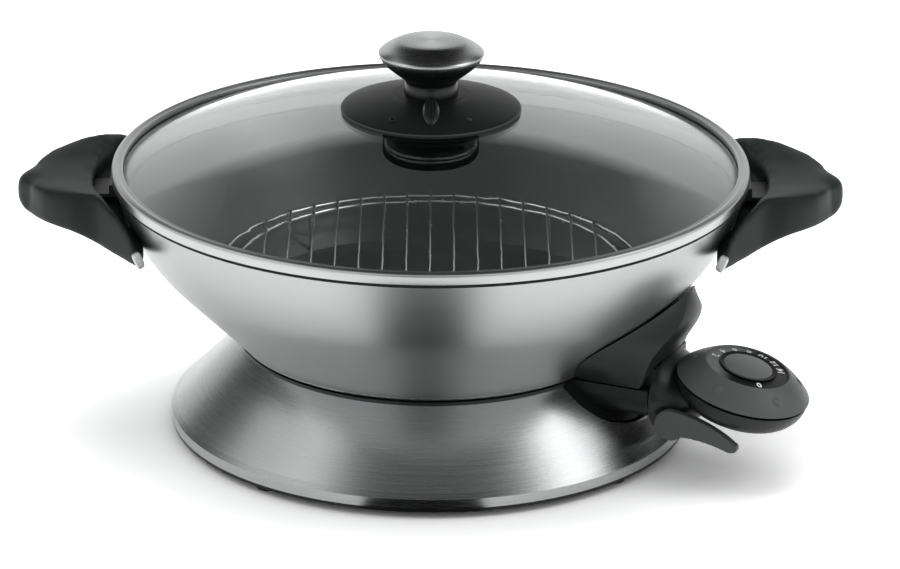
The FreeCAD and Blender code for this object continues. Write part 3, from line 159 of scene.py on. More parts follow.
# The dial's print: numbers two apart, clockwise from 2, with 0 in a place of its own.
NUMBER_COUNT = 8
ZERO_AT = 311.0
TWO_AT = 183.5
NUMBER_STEP = 24.6
NUMBER_SIZE = 0.0058
NUMBER_RELIEF = 0.00005
NUMBER_BOLDNESS = 0.00013
NUMBER_PLACE = (0, -0.0194, 0.01150)
NUMBER_LEAN = math.radians(3.4)
PRINT_INNER_RADIUS = 0.013

# The studio. A lamp has a name, a place, a size, a power, and whether it is mirrored.
LAMPS = (
    ("top_lamp", (0, 0.3, 2.2), (2.2, 1.6), 24, False),
    ("left_lamp", (-1.49, -0.55, 1.8), (0.6, 1.1), 2, True),
    ("right_lamp", (1.72, -0.2, 1.66), (0.6, 1.1), 6, True),
)
BOARDS = {
    "front_board": [(-0.68, -2.3, 0), (0.56, -2.3, 0), (0.56, -2.3, 1.5),
                    (-0.68, -2.3, 1.5)],
    "front_mat": [(-0.03, -0.1, 0.001), (0.025, -0.1, 0.001), (0.09, -0.42, 0.001),
                  (-0.11, -0.42, 0.001)],
    "left_board": [(-2.50, 0.90, 0.6), (-1.60, 2.10, 0.6), (-1.60, 2.10, 2.5),
                   (-2.50, 0.90, 2.5)],
    "right_board": [(2.50, 0.90, 0.6), (1.60, 2.10, 0.6), (1.60, 2.10, 2.5),
                    (2.50, 0.90, 2.5)],
}
CEILING = [(-2.4, -2.4, 2.6), (2.4, -2.4, 2.6), (2.4, 4.7, 2.6), (-2.4, 4.7, 2.6)]
CEILING_SOFT_EDGE = 1.1
FLOOR_SIZE = 40
FLOOR_COLOURS = ((0.78, 0.78, 0.78), (0.80, 0.80, 0.80))
FLOOR_SHOWN_COLOUR = (1.6, 1.6, 1.6)
BOARD_COLOUR = (0.02, 0.02, 0.02)
LAMP_TARGET = Vector((0, 0, 0.1))

# How far the picture's middle is off the camera's axis, in shares of its width.
SHIFT_X = 20 / 900
SHIFT_Y = 1.9 / 900
CLIP_END = 60


# ---------------------------------------------------------------- settings

def colour(label, description, default):
    return bpy.props.FloatVectorProperty(
        name=label, description=description, subtype="COLOR", size=3, min=0, max=1,
        default=default)


def share(label, description, default):
    return bpy.props.FloatProperty(
        name=label, description=description, subtype="FACTOR", min=0, max=1, default=default)


def length(label, description, default):
    return bpy.props.FloatProperty(
        name=label, description=description, subtype="DISTANCE", unit="LENGTH", min=0,
        precision=4, default=default)


class WokFinishes(bpy.types.PropertyGroup):
    """Colours and gloss of the wok's materials."""

    steel: colour("Steel", "Brushed steel of the base and the pan", (0.42, 0.43, 0.43))
    bright_steel: colour("Bright steel", "Lid band and rack wire", (0.66, 0.67, 0.67))
    phenolic: colour("Handles", "Moulding of the two handles", (0.013, 0.017, 0.016))
    black: colour("Black", "Base mouldings, probe and vent guard", (0.008, 0.009, 0.009))
    grey: colour("Grey", "Dial and eject lever", (0.080, 0.085, 0.084))
    non_stick: colour("Non-stick", "Coating inside the bowl", (0.036, 0.040, 0.040))
    glass: colour("Glass", "Tint of the lid", (0.90, 0.93, 0.92))
    ink: colour("Numbers", "Print on the dial", (0.93, 0.94, 0.94))
    steel_gloss: share("Steel roughness", "Blur of the brushed steel's reflections", 0.26)
    plastic_gloss: share("Plastic roughness", "Blur of the mouldings' reflections", 0.42)


class WokStudio(bpy.types.PropertyGroup):
    """Camera and light."""

    elevation: bpy.props.FloatProperty(
        name="Elevation", description="Height of the camera above the horizon",
        subtype="ANGLE", unit="ROTATION", default=math.radians(20.77))
    roll: bpy.props.FloatProperty(
        name="Roll", description="Turn of the camera about its own view", subtype="ANGLE",
        unit="ROTATION", default=math.radians(0.33))
    distance: length("Distance", "From the camera to the point it looks at", 3.0)
    target_height: length("Target height", "Height of the point it looks at", 0.080)
    frame_width: length("Frame width", "Width of the picture at that point", 0.5067)
    ambient: share("Ambient", "Light of the room on dull surfaces", 0.60)


# ---------------------------------------------------------------- material maths

class Value:
    """A socket in a node tree. Arithmetic on it adds Math nodes."""

    def __init__(self, nodes, socket):
        self.nodes = nodes
        self.socket = socket

    def math(self, operation, *others):
        return self.nodes.node("Math", {"operation": operation}, self, *others)

    def __add__(self, other):
        return self.math("ADD", other)

    def __sub__(self, other):
        return self.math("SUBTRACT", other)

    def __mul__(self, other):
        return self.math("MULTIPLY", other)

    def __truediv__(self, other):
        return self.math("DIVIDE", other)

    def __rsub__(self, other):
        return self.nodes.node("Math", {"operation": "SUBTRACT"}, other, self)


class Nodes:
    """The node tree of a material or a world, emptied."""

    def __init__(self, owner):
        owner.use_nodes = True
        self.tree = owner.node_tree
        self.tree.nodes.clear()

    def feed(self, socket, value):
        """Give a socket a number, a colour or the link of a Value."""
        if isinstance(value, Value):
            self.tree.links.new(value.socket, socket)
        elif hasattr(value, "__len__") and len(value) == 3 and len(socket.default_value) == 4:
            socket.default_value = (*value, 1)
        else:
            socket.default_value = value

    def node(self, kind, settings, *values, output=0, **named):
        """Add a node of a kind: its settings first, then its sockets by place and name."""
        made = self.tree.nodes.new("ShaderNode" + kind)
        for key, value in settings.items():
            setattr(made, key, value)
        for socket, value in zip(made.inputs, values):
            self.feed(socket, value)
        for key, value in named.items():
            self.feed(made.inputs[key.replace("_", " ")], value)
        return Value(self, made.outputs[output])

    def seen_by(self, *rays):
        """1 for rays of these kinds, such as Camera or Glossy, and 0 for the others."""
        mask, *others = [self.node("LightPath", {}, output=f"Is {ray} Ray") for ray in rays]
        for other in others:
            mask = mask.math("MAXIMUM", other)
        return mask


class Finish(Nodes):
    """A procedural material: a Principled surface and the nodes that feed it."""

    def __init__(self, name):
        self.material = bpy.data.materials.new(name)
        super().__init__(self.material)
        self.output = self.tree.nodes.new("ShaderNodeOutputMaterial")
        self.surface = self.tree.nodes.new("ShaderNodeBsdfPrincipled")
        self.tree.links.new(self.surface.outputs[0], self.output.inputs["Surface"])

    def place(self):
        """The place on the piece, in the model's frame."""
        return self.node("TexCoord", {}, output="Object")

    def split(self, vector):
        parts = self.node("SeparateXYZ", {}, vector)
        return [Value(self, socket) for socket in parts.socket.node.outputs]

    def join(self, x, y, z):
        return self.node("CombineXYZ", {}, x, y, z)

    def noise(self, vector, scale, detail=2.0, roughness=0.5):
        return self.node("TexNoise", {}, Vector=vector, Scale=scale, Detail=detail,
                         Roughness=roughness)

    def ramp(self, value, *stops):
        """A grey that follows a value through stops of (value, grey)."""
        made = self.node("ValToRGB", {}, value)
        elements = made.socket.node.color_ramp.elements
        while len(elements) < len(stops):
            elements.new(0.5)
        for element, (place, grey) in zip(elements, stops):
            element.position = place
            element.color = (grey, grey, grey, 1)
        return made

    def blend(self, mask, first, second):
        """A colour between two others. The node has sockets for each type of data: 0, 6
        and 7 are the factor and the colours, and 2 is the mixed colour."""
        made = self.tree.nodes.new("ShaderNodeMix")
        made.data_type = "RGBA"
        for index, value in ((0, mask), (6, first), (7, second)):
            self.feed(made.inputs[index], value)
        return Value(self, made.outputs[2])

    def bump(self, height, depth, strength):
        return self.node("Bump", {}, Height=height, Distance=depth, Strength=strength)

    def set(self, **sockets):
        for key, value in sockets.items():
            self.feed(self.surface.inputs[key.replace("_", " ")], value)

    def share_surface(self, mask, first, second):
        """Show the first of two shader nodes where the mask is 0, the second where 1."""
        mixed = self.node("MixShader", {}, mask, Value(self, first.outputs[0]),
                          Value(self, second.outputs[0]))
        self.feed(self.output.inputs["Surface"], mixed)


def tinted(shade, factor):
    """A lighter or darker shade of a colour."""
    return tuple(min(1, channel * factor) for channel in shade)


def radius_of(x, y):
    return (x * x + y * y).math("SQRT")


# ---------------------------------------------------------------- finishes

def spun_steel(name, shade, roughness, lean=1, lines=2400, contrast=0.16):
    """Steel brushed in rings about the Z axis. The lines cross the height plus lean times
    the radius, which suits a wall that leans that way."""
    finish = Finish(name)
    x, y, z = finish.split(finish.place())
    across = z + radius_of(x, y) * lean
    coarse = finish.noise(finish.join(x * 5, y * 5, across * lines), 1, 3, 0.6)
    fine = finish.noise(finish.join(x * 22, y * 22, across * lines * 3.1), 1, 2)
    tone = coarse * 0.6 + fine * 0.4
    cloud = finish.noise(finish.place(), 9, 2)
    finish.set(
        Base_Color=finish.blend(tone * 0.85 + cloud * 0.15, tinted(shade, 1 - contrast),
                                tinted(shade, 1 + contrast)),
        Metallic=1.0, Roughness=(tone - 0.5) * 0.16 + roughness, Anisotropic=0.65,
        Normal=finish.bump(tone, 0.00003, 0.5))
    return finish


def satin_steel(name, shade, roughness):
    """Steel with a fine even satin and faint horizontal lines."""
    finish = spun_steel(name, shade, roughness, lean=1, lines=1500, contrast=0.07)
    finish.set(Anisotropic=0.35)
    return finish


def bright_metal(name, shade, roughness):
    """Polished metal with faint smears."""
    finish = Finish(name)
    smear = finish.noise(finish.place(), 60, 4, 0.6)
    finish.set(Base_Color=finish.blend(smear, tinted(shade, 0.93), tinted(shade, 1.05)),
               Metallic=1.0, Roughness=smear * 0.10 + (roughness - 0.05),
               Normal=finish.bump(finish.noise(finish.place(), 900, 2), 0.00001, 0.3))
    return finish


def moulding(name, shade, roughness, grain=1600, depth=0.00004, specular=0.3):
    """Moulded plastic with a fine spark-eroded grain."""
    finish = Finish(name)
    place = finish.place()
    pits = finish.noise(place, grain, 3, 0.6)
    flow = finish.noise(place, 14, 3)
    finish.set(
        Base_Color=finish.blend(flow * 0.6 + pits * 0.4, tinted(shade, 0.82),
                                tinted(shade, 1.18)),
        Roughness=flow * 0.10 + pits * 0.08 + (roughness - 0.09), Specular_IOR_Level=specular,
        Normal=finish.bump(pits, depth, 0.5))
    return finish


def rubber(name, shade):
    """Dull rubber with a soft grain."""
    finish = moulding(name, shade, 0.75, grain=900, depth=0.00008)
    finish.set(Sheen_Weight=0.15)
    return finish


def coating(name, shade):
    """Non-stick coating: dark satin with tiny bright flakes."""
    finish = Finish(name)
    place = finish.place()
    flakes = finish.node("TexVoronoi", {"feature": "F1"}, Vector=place, Scale=900.0)
    sparkle = finish.ramp(flakes, (0.0, 1.0), (0.13, 0.0))
    cloud = finish.noise(place, 25, 3)
    base = finish.blend(cloud, tinted(shade, 0.85), tinted(shade, 1.15))
    finish.set(Base_Color=finish.blend(sparkle * 0.35, base, (0.45, 0.46, 0.46)),
               Roughness=cloud * 0.08 + 0.38, Specular_IOR_Level=1.0,
               Coat_Weight=0.6, Coat_Roughness=0.4,
               Normal=finish.bump(finish.noise(place, 1200, 2), 0.00004, 0.5))
    return finish


def clear_glass(name, tint):
    """Clear glass with a faint tint. Light for the pan's inside passes straight through."""
    finish = Finish(name)
    smear = finish.noise(finish.place(), 18, 3)
    finish.set(Base_Color=finish.blend(smear, tinted(tint, 0.98), tinted(tint, 1.02)),
               Roughness=0.0, IOR=1.5, Transmission_Weight=1.0)
    through = finish.tree.nodes.new("ShaderNodeBsdfTransparent")
    finish.feed(through.inputs["Color"], tint)
    finish.share_surface(finish.seen_by("Shadow", "Diffuse"), finish.surface, through)
    return finish


# ---------------------------------------------------------------- helpers

def finish_node(finish, *names):
    """Give CAD nodes a finish."""
    for name in names:
        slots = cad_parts[name].data.materials
        slots.clear()
        slots.append(finish.material)


def only(*objects):
    """Select these objects alone, the first of them active."""
    bpy.ops.object.select_all(action="DESELECT")
    for thing in objects:
        thing.select_set(True)
    bpy.context.view_layer.objects.active = objects[0]


def settle(piece, name, finish, body):
    """Name a new piece, apply its transform, give it its finish and let it ride a body."""
    only(piece)
    bpy.ops.object.transform_apply(location=True, rotation=True, scale=True)
    piece.name = name
    piece.data.name = name
    piece.data.materials.clear()
    piece.data.materials.append(finish.material)
    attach(piece, body)


def dial_frame():
    """From the dial's own axes, with Z up its spindle, to the model's frame."""
    turn = Matrix.Rotation(PROBE_HEADING, 4, "Z") @ Matrix.Rotation(DIAL_TILT, 4, "Y")
    return Matrix.Translation(DIAL_CENTRE) @ turn


def merged_copy(node):
    """A copy of a CAD node's mesh whose loose triangles are joined."""
    piece = bpy.data.objects.new(node + "_copy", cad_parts[node].data.copy())
    bpy.context.collection.objects.link(piece)
    only(piece)
    bpy.ops.object.mode_set(mode="EDIT")
    bpy.ops.mesh.select_all(action="SELECT")
    bpy.ops.mesh.remove_doubles(threshold=NODE_WELD)
    bpy.ops.object.mode_set(mode="OBJECT")
    return piece


def finished(piece, kind, **settings):
    """Add a modifier with these settings and apply it."""
    only(piece)
    modifier = piece.modifiers.new(kind.lower(), kind)
    for key, value in settings.items():
        setattr(modifier, key, value)
    bpy.ops.object.modifier_apply(modifier=modifier.name)


def lathe(profile, steps=192):
    """Trace a profile from one vertex, and spin it about the Z axis. One that closes, or
    that starts and ends on the axis, makes a solid."""
    bpy.ops.object.select_all(action="DESELECT")
    first = Vector((profile[0][0], 0, profile[0][1])) / MM_PER_METRE
    bpy.ops.mesh.primitive_plane_add(size=0.001, location=first)
    piece = bpy.context.object
    bpy.ops.object.transform_apply(location=True)
    bpy.ops.object.mode_set(mode="EDIT")
    bpy.ops.mesh.select_all(action="SELECT")
    bpy.ops.mesh.merge(type="CENTER")
    for (radius, height), (onward, up) in zip(profile, profile[1:]):
        step = ((onward - radius) / MM_PER_METRE, 0, (up - height) / MM_PER_METRE)
        bpy.ops.mesh.extrude_region_move(TRANSFORM_OT_translate={"value": step})
    bpy.ops.mesh.select_all(action="SELECT")
    bpy.ops.mesh.spin(steps=steps, angle=math.tau, center=(0, 0, 0), axis=(0, 0, 1))
    bpy.ops.mesh.select_all(action="SELECT")
    bpy.ops.mesh.remove_doubles(threshold=LATHE_WELD)
    bpy.ops.mesh.normals_make_consistent(inside=False)
    bpy.ops.object.mode_set(mode="OBJECT")
    return piece


def rounded(piece, width, angle):
    """Round the sharp edges of a piece and smooth the rest."""
    finished(piece, "BEVEL", width=width, segments=3, limit_method="ANGLE",
             angle_limit=math.radians(angle))
    only(piece)
    bpy.ops.object.shade_smooth_by_angle(angle=math.radians(angle))


def picked(piece, chosen):
    """Select the vertices that a test chooses, and stay in edit mode."""
    only(piece)
    bpy.ops.object.mode_set(mode="EDIT")
    bpy.ops.mesh.select_mode(type="VERT")
    bpy.ops.mesh.select_all(action="DESELECT")
    bpy.ops.object.mode_set(mode="OBJECT")
    for vertex in piece.data.vertices:
        vertex.select = chosen(vertex.co)
    bpy.ops.object.mode_set(mode="EDIT")


def lowered(node, below, drop):
    """A copy of a CAD node whose vertices below a height are moved down."""
    piece = merged_copy(node)
    picked(piece, lambda co: co.z < below)
    bpy.ops.transform.translate(value=(0, 0, -drop))
    bpy.ops.object.mode_set(mode="OBJECT")
    bpy.ops.object.shade_smooth_by_angle(angle=math.radians(35))
    return piece


def drawn(piece, chosen, move, reach):
    """Move the vertices that a test chooses, and let those within reach follow."""
    picked(piece, chosen)
    bpy.ops.transform.translate(value=move, use_proportional_edit=True,
                                proportional_edit_falloff="SMOOTH",
                                proportional_size=reach)
    bpy.ops.object.mode_set(mode="OBJECT")


def softened(piece, grain, rounds):
    """Round off every edge of a closed piece, as a mould does."""
    finished(piece, "REMESH", mode="VOXEL", voxel_size=grain, use_smooth_shade=True)
    finished(piece, "SMOOTH", factor=0.5, iterations=rounds)
    only(piece)
    bpy.ops.object.shade_smooth()


# ---------------------------------------------------------------- operators

class WOK_OT_base(bpy.types.Operator):
    """Finish the base: spun cone, mouldings, feet and screws"""

    bl_idname = "wok.base"
    bl_label = "Base"

    def execute(self, context):
        look = context.scene.wok_finishes
        finish_node(spun_steel("base_spun_steel", look.steel, look.steel_gloss, lean=-1),
                    "base_cone")
        finish_node(moulding("base_black", look.black, look.plastic_gloss),
                    "base_deck", "base_floor")
        finish_node(rubber("foot_rubber", look.black), "rubber_feet")
        finish_node(bright_metal("screw_zinc", tinted(look.steel, 0.9), 0.35),
                    "base_screws", "handle_screws", "lid_screw", "lever_pin")
        return {"FINISHED"}


class WOK_OT_socket(bpy.types.Operator):
    """Finish the probe's socket, half on the base and half on the pan"""

    bl_idname = "wok.socket"
    bl_label = "Probe socket"

    def execute(self, context):
        look = context.scene.wok_finishes
        finish_node(moulding("socket_black", tinted(look.black, 1.3), 0.34), "probe_cradle")
        finish_node(moulding("shroud_black", tinted(look.black, 2.2), 0.40, specular=0.25),
                    "probe_shroud")
        return {"FINISHED"}


class WOK_OT_pan(bpy.types.Operator):
    """Finish the pan: outer skin, non-stick bowl and what is under it"""

    bl_idname = "wok.pan"
    bl_label = "Pan"

    def execute(self, context):
        look = context.scene.wok_finishes
        finish_node(satin_steel("pan_satin_steel", look.steel, 0.36), "bowl_skin")
        finish_node(coating("pan_non_stick", look.non_stick), "wok_bowl")
        finish_node(bright_metal("inner_steel", look.steel, 0.40),
                    "bottom_cover", "sensor_tube", "sensor_rod", "heating_element",
                    "terminal_pins", "dial_shaft")
        finish_node(bright_metal("bracket_steel", tinted(look.steel, 0.35), 0.5),
                    "handle_bracket_right", "handle_bracket_left")
        finish_node(bright_metal("contact_brass", (0.72, 0.56, 0.28), 0.32),
                    "contact_sleeves")
        return {"FINISHED"}


class WOK_OT_handles(bpy.types.Operator):
    """Make the two handles, with moulded edges and the steel ends of their straps"""

    bl_idname = "wok.handles"
    bl_label = "Handles"

    def execute(self, context):
        look = context.scene.wok_finishes
        finish = moulding("handle_phenolic", look.phenolic, 0.46, specular=0.12)
        steel = bright_metal("strap_steel", tinted(look.bright_steel, 0.8), 0.42)
        for side, sign in (("right", 1), ("left", -1)):
            handle = merged_copy(f"handle_{side}")
            softened(handle, HANDLE_GRAIN, HANDLE_ROUNDS)
            for front in (-1, 1):
                self.drawn_half(handle, sign, front)
            finished(handle, "SMOOTH", factor=0.5, iterations=HANDLE_LAST_ROUNDS)
            settle(handle, f"soft_handle_{side}", finish, "pan")
            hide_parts(f"handle_{side}")
            self.strap_ends(side, sign, steel)
        return {"FINISHED"}

    def drawn_half(self, handle, sign, front):
        """Draw the palm's end in, its shoulder out and the arm's tip towards the bowl."""
        drawn(handle, lambda co: abs(co.x) > END_FROM and co.y * front > END_ASIDE
              and co.z > END_ABOVE, (-sign * END_IN, 0, -END_DOWN), END_REACH)
        drawn(handle, lambda co: SHOULDER_FROM < abs(co.x) < SHOULDER_TO
              and co.y * front > SHOULDER_ASIDE and co.z > SHOULDER_ABOVE,
              (0, front * SHOULDER_OUT, SHOULDER_UP), SHOULDER_REACH)
        x, y, z = TIP_PLACE
        tip = Vector((sign * x, front * y, z))
        drawn(handle, lambda co: (co - tip).length < TIP_SIZE, (-sign * TIP_IN, 0, 0),
              TIP_REACH)

    def strap_ends(self, side, sign, finish):
        """The strap's two ends, between the tips of the arms and the bowl."""
        x, y, z = STRAP_PLACE
        for end, front in (("front", -1), ("back", 1)):
            bpy.ops.object.select_all(action="DESELECT")
            bpy.ops.mesh.primitive_cube_add(size=1)
            plate = bpy.context.object
            finished(plate, "BEVEL", width=0.3, segments=5)
            turn = math.atan2(front * STRAP_FACING[1], sign * STRAP_FACING[0])
            plate.matrix_world = (Matrix.Translation((sign * x, front * y, z))
                                  @ Matrix.Rotation(turn, 4, "Z")
                                  @ Matrix.Rotation(STRAP_LEAN, 4, "Y")
                                  @ Matrix.Diagonal((*STRAP_SIZE, 1)))
            only(plate)
            bpy.ops.object.shade_smooth_by_angle(angle=math.radians(40))
            settle(plate, f"strap_end_{side}_{end}", finish, "pan")


class WOK_OT_lid(bpy.types.Operator):
    """Finish the lid's glass, and make its band, guard disc, boss and vent"""

    bl_idname = "wok.lid"
    bl_label = "Lid"

    def execute(self, context):
        look = context.scene.wok_finishes
        finish_node(clear_glass("lid_glass", look.glass), "lid_glass")
        finish_node(rubber("seal_black", tinted(look.black, 0.5)), "lid_seal")
        finish_node(moulding("vent_black", look.black, 0.46, specular=0.2), "vent_shutter")
        self.band(look)
        self.guard(look)
        dull = moulding("boss_black", look.black, 0.62, specular=0)
        for node in ("vent_boss", "lid_screw"):
            piece = lowered(node, BOSS_CUT_HEIGHT, BOSS_DROP)
            settle(piece, f"long_{node}", dull, "lid")
            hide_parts(node)
        finish_node(bright_metal("vent_pin_steel", look.steel, 0.3), "vent_pin")
        self.vent_tab(look)
        self.vent_marks(look)
        return {"FINISHED"}

    def band(self, look):
        """The steel band: a bead, a sunk flange and a thin bright lip against the glass."""
        band = lathe(BAND_PROFILE, BAND_STEPS)
        rounded(band, FINE_EDGE, angle=24)
        finish = bright_metal("lid_band_steel", tinted(look.bright_steel, 0.72), 0.36)
        settle(band, "steel_band", finish, "lid")
        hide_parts("lid_band")

    def guard(self, look):
        """The black guard under the knob, with a painted highlight: a fine bright ring in its
        colour round its edge.
        """
        guard = lathe(GUARD_PROFILE)
        rounded(guard, FINE_EDGE, angle=40)
        finish = moulding("guard_black", look.black, 0.46, specular=0.14)
        x, y, _ = finish.split(finish.place())
        # Painted highlight: a ring of lighter grey near the guard's rim stands in for the
        # light its edge catches.
        painted_edge_highlight = finish.ramp((radius_of(x, y) - GUARD_HIGHLIGHT_RADIUS) * 500,
                           (0.0, 0), (0.25, 0), (0.5, 1), (0.75, 0))
        finish.set(Base_Color=finish.blend(painted_edge_highlight * 0.8, look.black, tinted(look.black, 9)))
        settle(guard, "vent_guard", finish, "lid")
        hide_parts("vent_disc")

    def vent_tab(self, look):
        """The vent's ring, swept up to the knob's neck, and its grooved bean of a tab."""
        dull = moulding("vent_tab_black", look.black, 0.46, specular=0.14)
        ring = lathe(COLLAR_PROFILE, COLLAR_STEPS)
        only(ring)
        bpy.ops.object.shade_smooth_by_angle(angle=math.radians(50))
        bpy.ops.object.select_all(action="DESELECT")
        bpy.ops.mesh.primitive_uv_sphere_add(segments=48, ring_count=32, radius=1)
        bean = bpy.context.object
        drawn(bean, lambda co: co.z > GROOVE_ABOVE and abs(co.x) < GROOVE_HALF_WIDTH,
              (0, 0, -GROOVE_DEPTH), GROOVE_REACH)
        bean.matrix_world = (Matrix.Translation(TAB_PLACE)
                             @ Matrix.Rotation(TAB_LEAN, 4, "X")
                             @ Matrix.Diagonal((*TAB_HALF_SIZE, 1)))
        only(bean)
        bpy.ops.object.shade_smooth()
        gloss = moulding("vent_bean_black", tinted(look.black, 1.4), 0.30, specular=0.5)
        settle(bean, "vent_tab", gloss, "vent")
        settle(ring, "vent_collar", dull, "vent")
        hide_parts("vent_ring")

    def vent_marks(self, look):
        """Raised marks on the guard where the tab stands open and shut: a ring and a dot."""
        finish = moulding("vent_mark_black", tinted(look.black, 2.0), 0.34, specular=0.4)
        for name, side in (("open", -1), ("shut", 1)):
            bpy.ops.object.select_all(action="DESELECT")
            if name == "open":
                bpy.ops.mesh.primitive_torus_add(major_radius=RING_RADIUS,
                                                 minor_radius=RING_WIRE_RADIUS,
                                                 major_segments=32, minor_segments=10)
            else:
                bpy.ops.mesh.primitive_uv_sphere_add(segments=28, ring_count=12,
                                                     radius=DOT_RADIUS,
                                                     scale=(1, 1, DOT_FLATNESS))
            mark = bpy.context.object
            mark.matrix_world = (Matrix.Rotation(MARK_TURN * side, 4, "Z")
                                 @ Matrix.Translation(MARK_PLACE)
                                 @ Matrix.Rotation(MARK_LEAN, 4, "X")
                                 @ mark.matrix_world)
            only(mark)
            bpy.ops.object.shade_smooth()
            settle(mark, f"vent_mark_{name}", finish, "lid")


class WOK_OT_knob(bpy.types.Operator):
    """Make the knob: waisted core and brushed cap"""

    bl_idname = "wok.knob"
    bl_label = "Knob"

    def execute(self, context):
        look = context.scene.wok_finishes
        core = lathe(KNOB_CORE_PROFILE)
        rounded(core, KNOB_CORE_EDGE, angle=25)
        finish = moulding("knob_black", look.black, 0.30)
        _, _, z = finish.split(finish.place())
        # Painted sheen: a lower stretch of the neck is made lighter grey for the light it
        # catches.
        neck = finish.ramp(z * 100 - NECK_SHEEN_HEIGHT_CM,
                           (0.05, 0), (0.35, 1), (0.60, 1), (0.72, 0))
        finish.set(Base_Color=finish.blend(neck * 0.3, look.black, look.grey))
        settle(core, "knob_core", finish, "lid")
        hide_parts("knob_body")
        cap = lathe(KNOB_CAP_PROFILE)
        rounded(cap, FINE_EDGE, angle=35)
        steel = spun_steel("knob_spun_steel", tinted(look.steel, 1.12), 0.27, contrast=0.06)
        settle(cap, "knob_steel", steel, "lid")
        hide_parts("knob_cap")
        return {"FINISHED"}


class WOK_OT_rack(bpy.types.Operator):
    """Finish the wire rack"""

    bl_idname = "wok.rack"
    bl_label = "Rack"

    def execute(self, context):
        look = context.scene.wok_finishes
        finish_node(bright_metal("rack_chrome", tinted(look.bright_steel, 1.35), 0.26),
                    "rack_rings", "rack_wires", "rack_legs")
        return {"FINISHED"}


class WOK_OT_probe(bpy.types.Operator):
    """Finish the probe's head, and make its lever"""

    bl_idname = "wok.probe"
    bl_label = "Probe"

    def execute(self, context):
        look = context.scene.wok_finishes
        finish_node(moulding("probe_black", tinted(look.black, 1.2), 0.36), "probe_body")
        finish_node(rubber("gland_rubber", look.black), "cord_gland")
        lever = merged_copy("eject_lever")
        softened(lever, LEVER_GRAIN, LEVER_ROUNDS)
        finish = moulding("lever_grey", look.grey, 0.45)
        settle(lever, "soft_lever", finish, "lever")
        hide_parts("eject_lever")
        return {"FINISHED"}


class WOK_OT_dial(bpy.types.Operator):
    """Finish the dial and print its numbers"""

    bl_idname = "wok.dial"
    bl_label = "Dial"

    def execute(self, context):
        look = context.scene.wok_finishes
        finish_node(self.print_band(look), "dial_dome")
        finish_node(moulding("dial_ring_black", tinted(look.black, 0.5), 0.30, specular=0.1),
                    "dial_ring")
        finish_node(moulding("dial_cap_grey", tinted(look.grey, 1.6), 0.36), "dial_cap")
        self.numbers(look)
        return {"FINISHED"}

    def print_band(self, look):
        """Grey, with a black band for the numbers that turns grey towards the pan, where 2
        and 4 stand, as a painted reflection. The factors spread each ramp over 12.5 or 25 mm."""
        finish = moulding("dial_grey", tinted(look.grey, 1.15), 0.42)
        x, y, z = finish.split(finish.place())
        axes = dial_frame().to_3x3().transposed()
        from_centre = [x - DIAL_CENTRE.x, y - DIAL_CENTRE.y, z - DIAL_CENTRE.z]
        across, along, up = [from_centre[0] * axis.x + from_centre[1] * axis.y
                             + from_centre[2] * axis.z for axis in axes]
        outwards = (radius_of(across, along) - PRINT_INNER_RADIUS) * 80
        band = finish.ramp(outwards, (0.0, 0), (0.05, 1), (0.80, 1), (0.83, 0))
        # Painted reflection: the band's ground goes from black to grey on the side towards
        # the pan.
        painted_reflection = finish.ramp(across * -40 + 0.5, (0.60, 0), (1.0, 1))
        ground = finish.blend(painted_reflection, tinted(look.black, 1.2), tinted(look.grey, 2.2))
        high = finish.ramp(up * 80, (0.72, 0), (0.78, 1))
        finish.set(Base_Color=finish.blend(band * high, tinted(look.grey, 1.15), ground))
        return finish

    def numbers(self, look):
        """Numbers printed round the dial's sunk ring, their feet outwards."""
        finish = moulding("dial_print", look.ink, 0.6, grain=3000, depth=0.00001)
        labels = []
        for place in range(NUMBER_COUNT):
            degrees = ZERO_AT if place == 0 else TWO_AT - NUMBER_STEP * (place - 1)
            bpy.ops.object.select_all(action="DESELECT")
            bpy.ops.object.text_add()
            label = bpy.context.object
            label.data.body = str(place * 2)
            label.data.size = NUMBER_SIZE
            label.data.extrude = NUMBER_RELIEF
            label.data.offset = NUMBER_BOLDNESS
            label.data.align_x = "CENTER"
            label.data.align_y = "CENTER"
            bpy.ops.object.convert(target="MESH")
            label.matrix_world = (
                dial_frame() @ Matrix.Rotation(math.radians(degrees + 90), 4, "Z")
                @ Matrix.Translation(NUMBER_PLACE) @ Matrix.Rotation(NUMBER_LEAN, 4, "X"))
            labels.append(label)
        only(*labels)
        bpy.ops.object.join()
        settle(labels[0], "dial_numbers", finish, "dial")


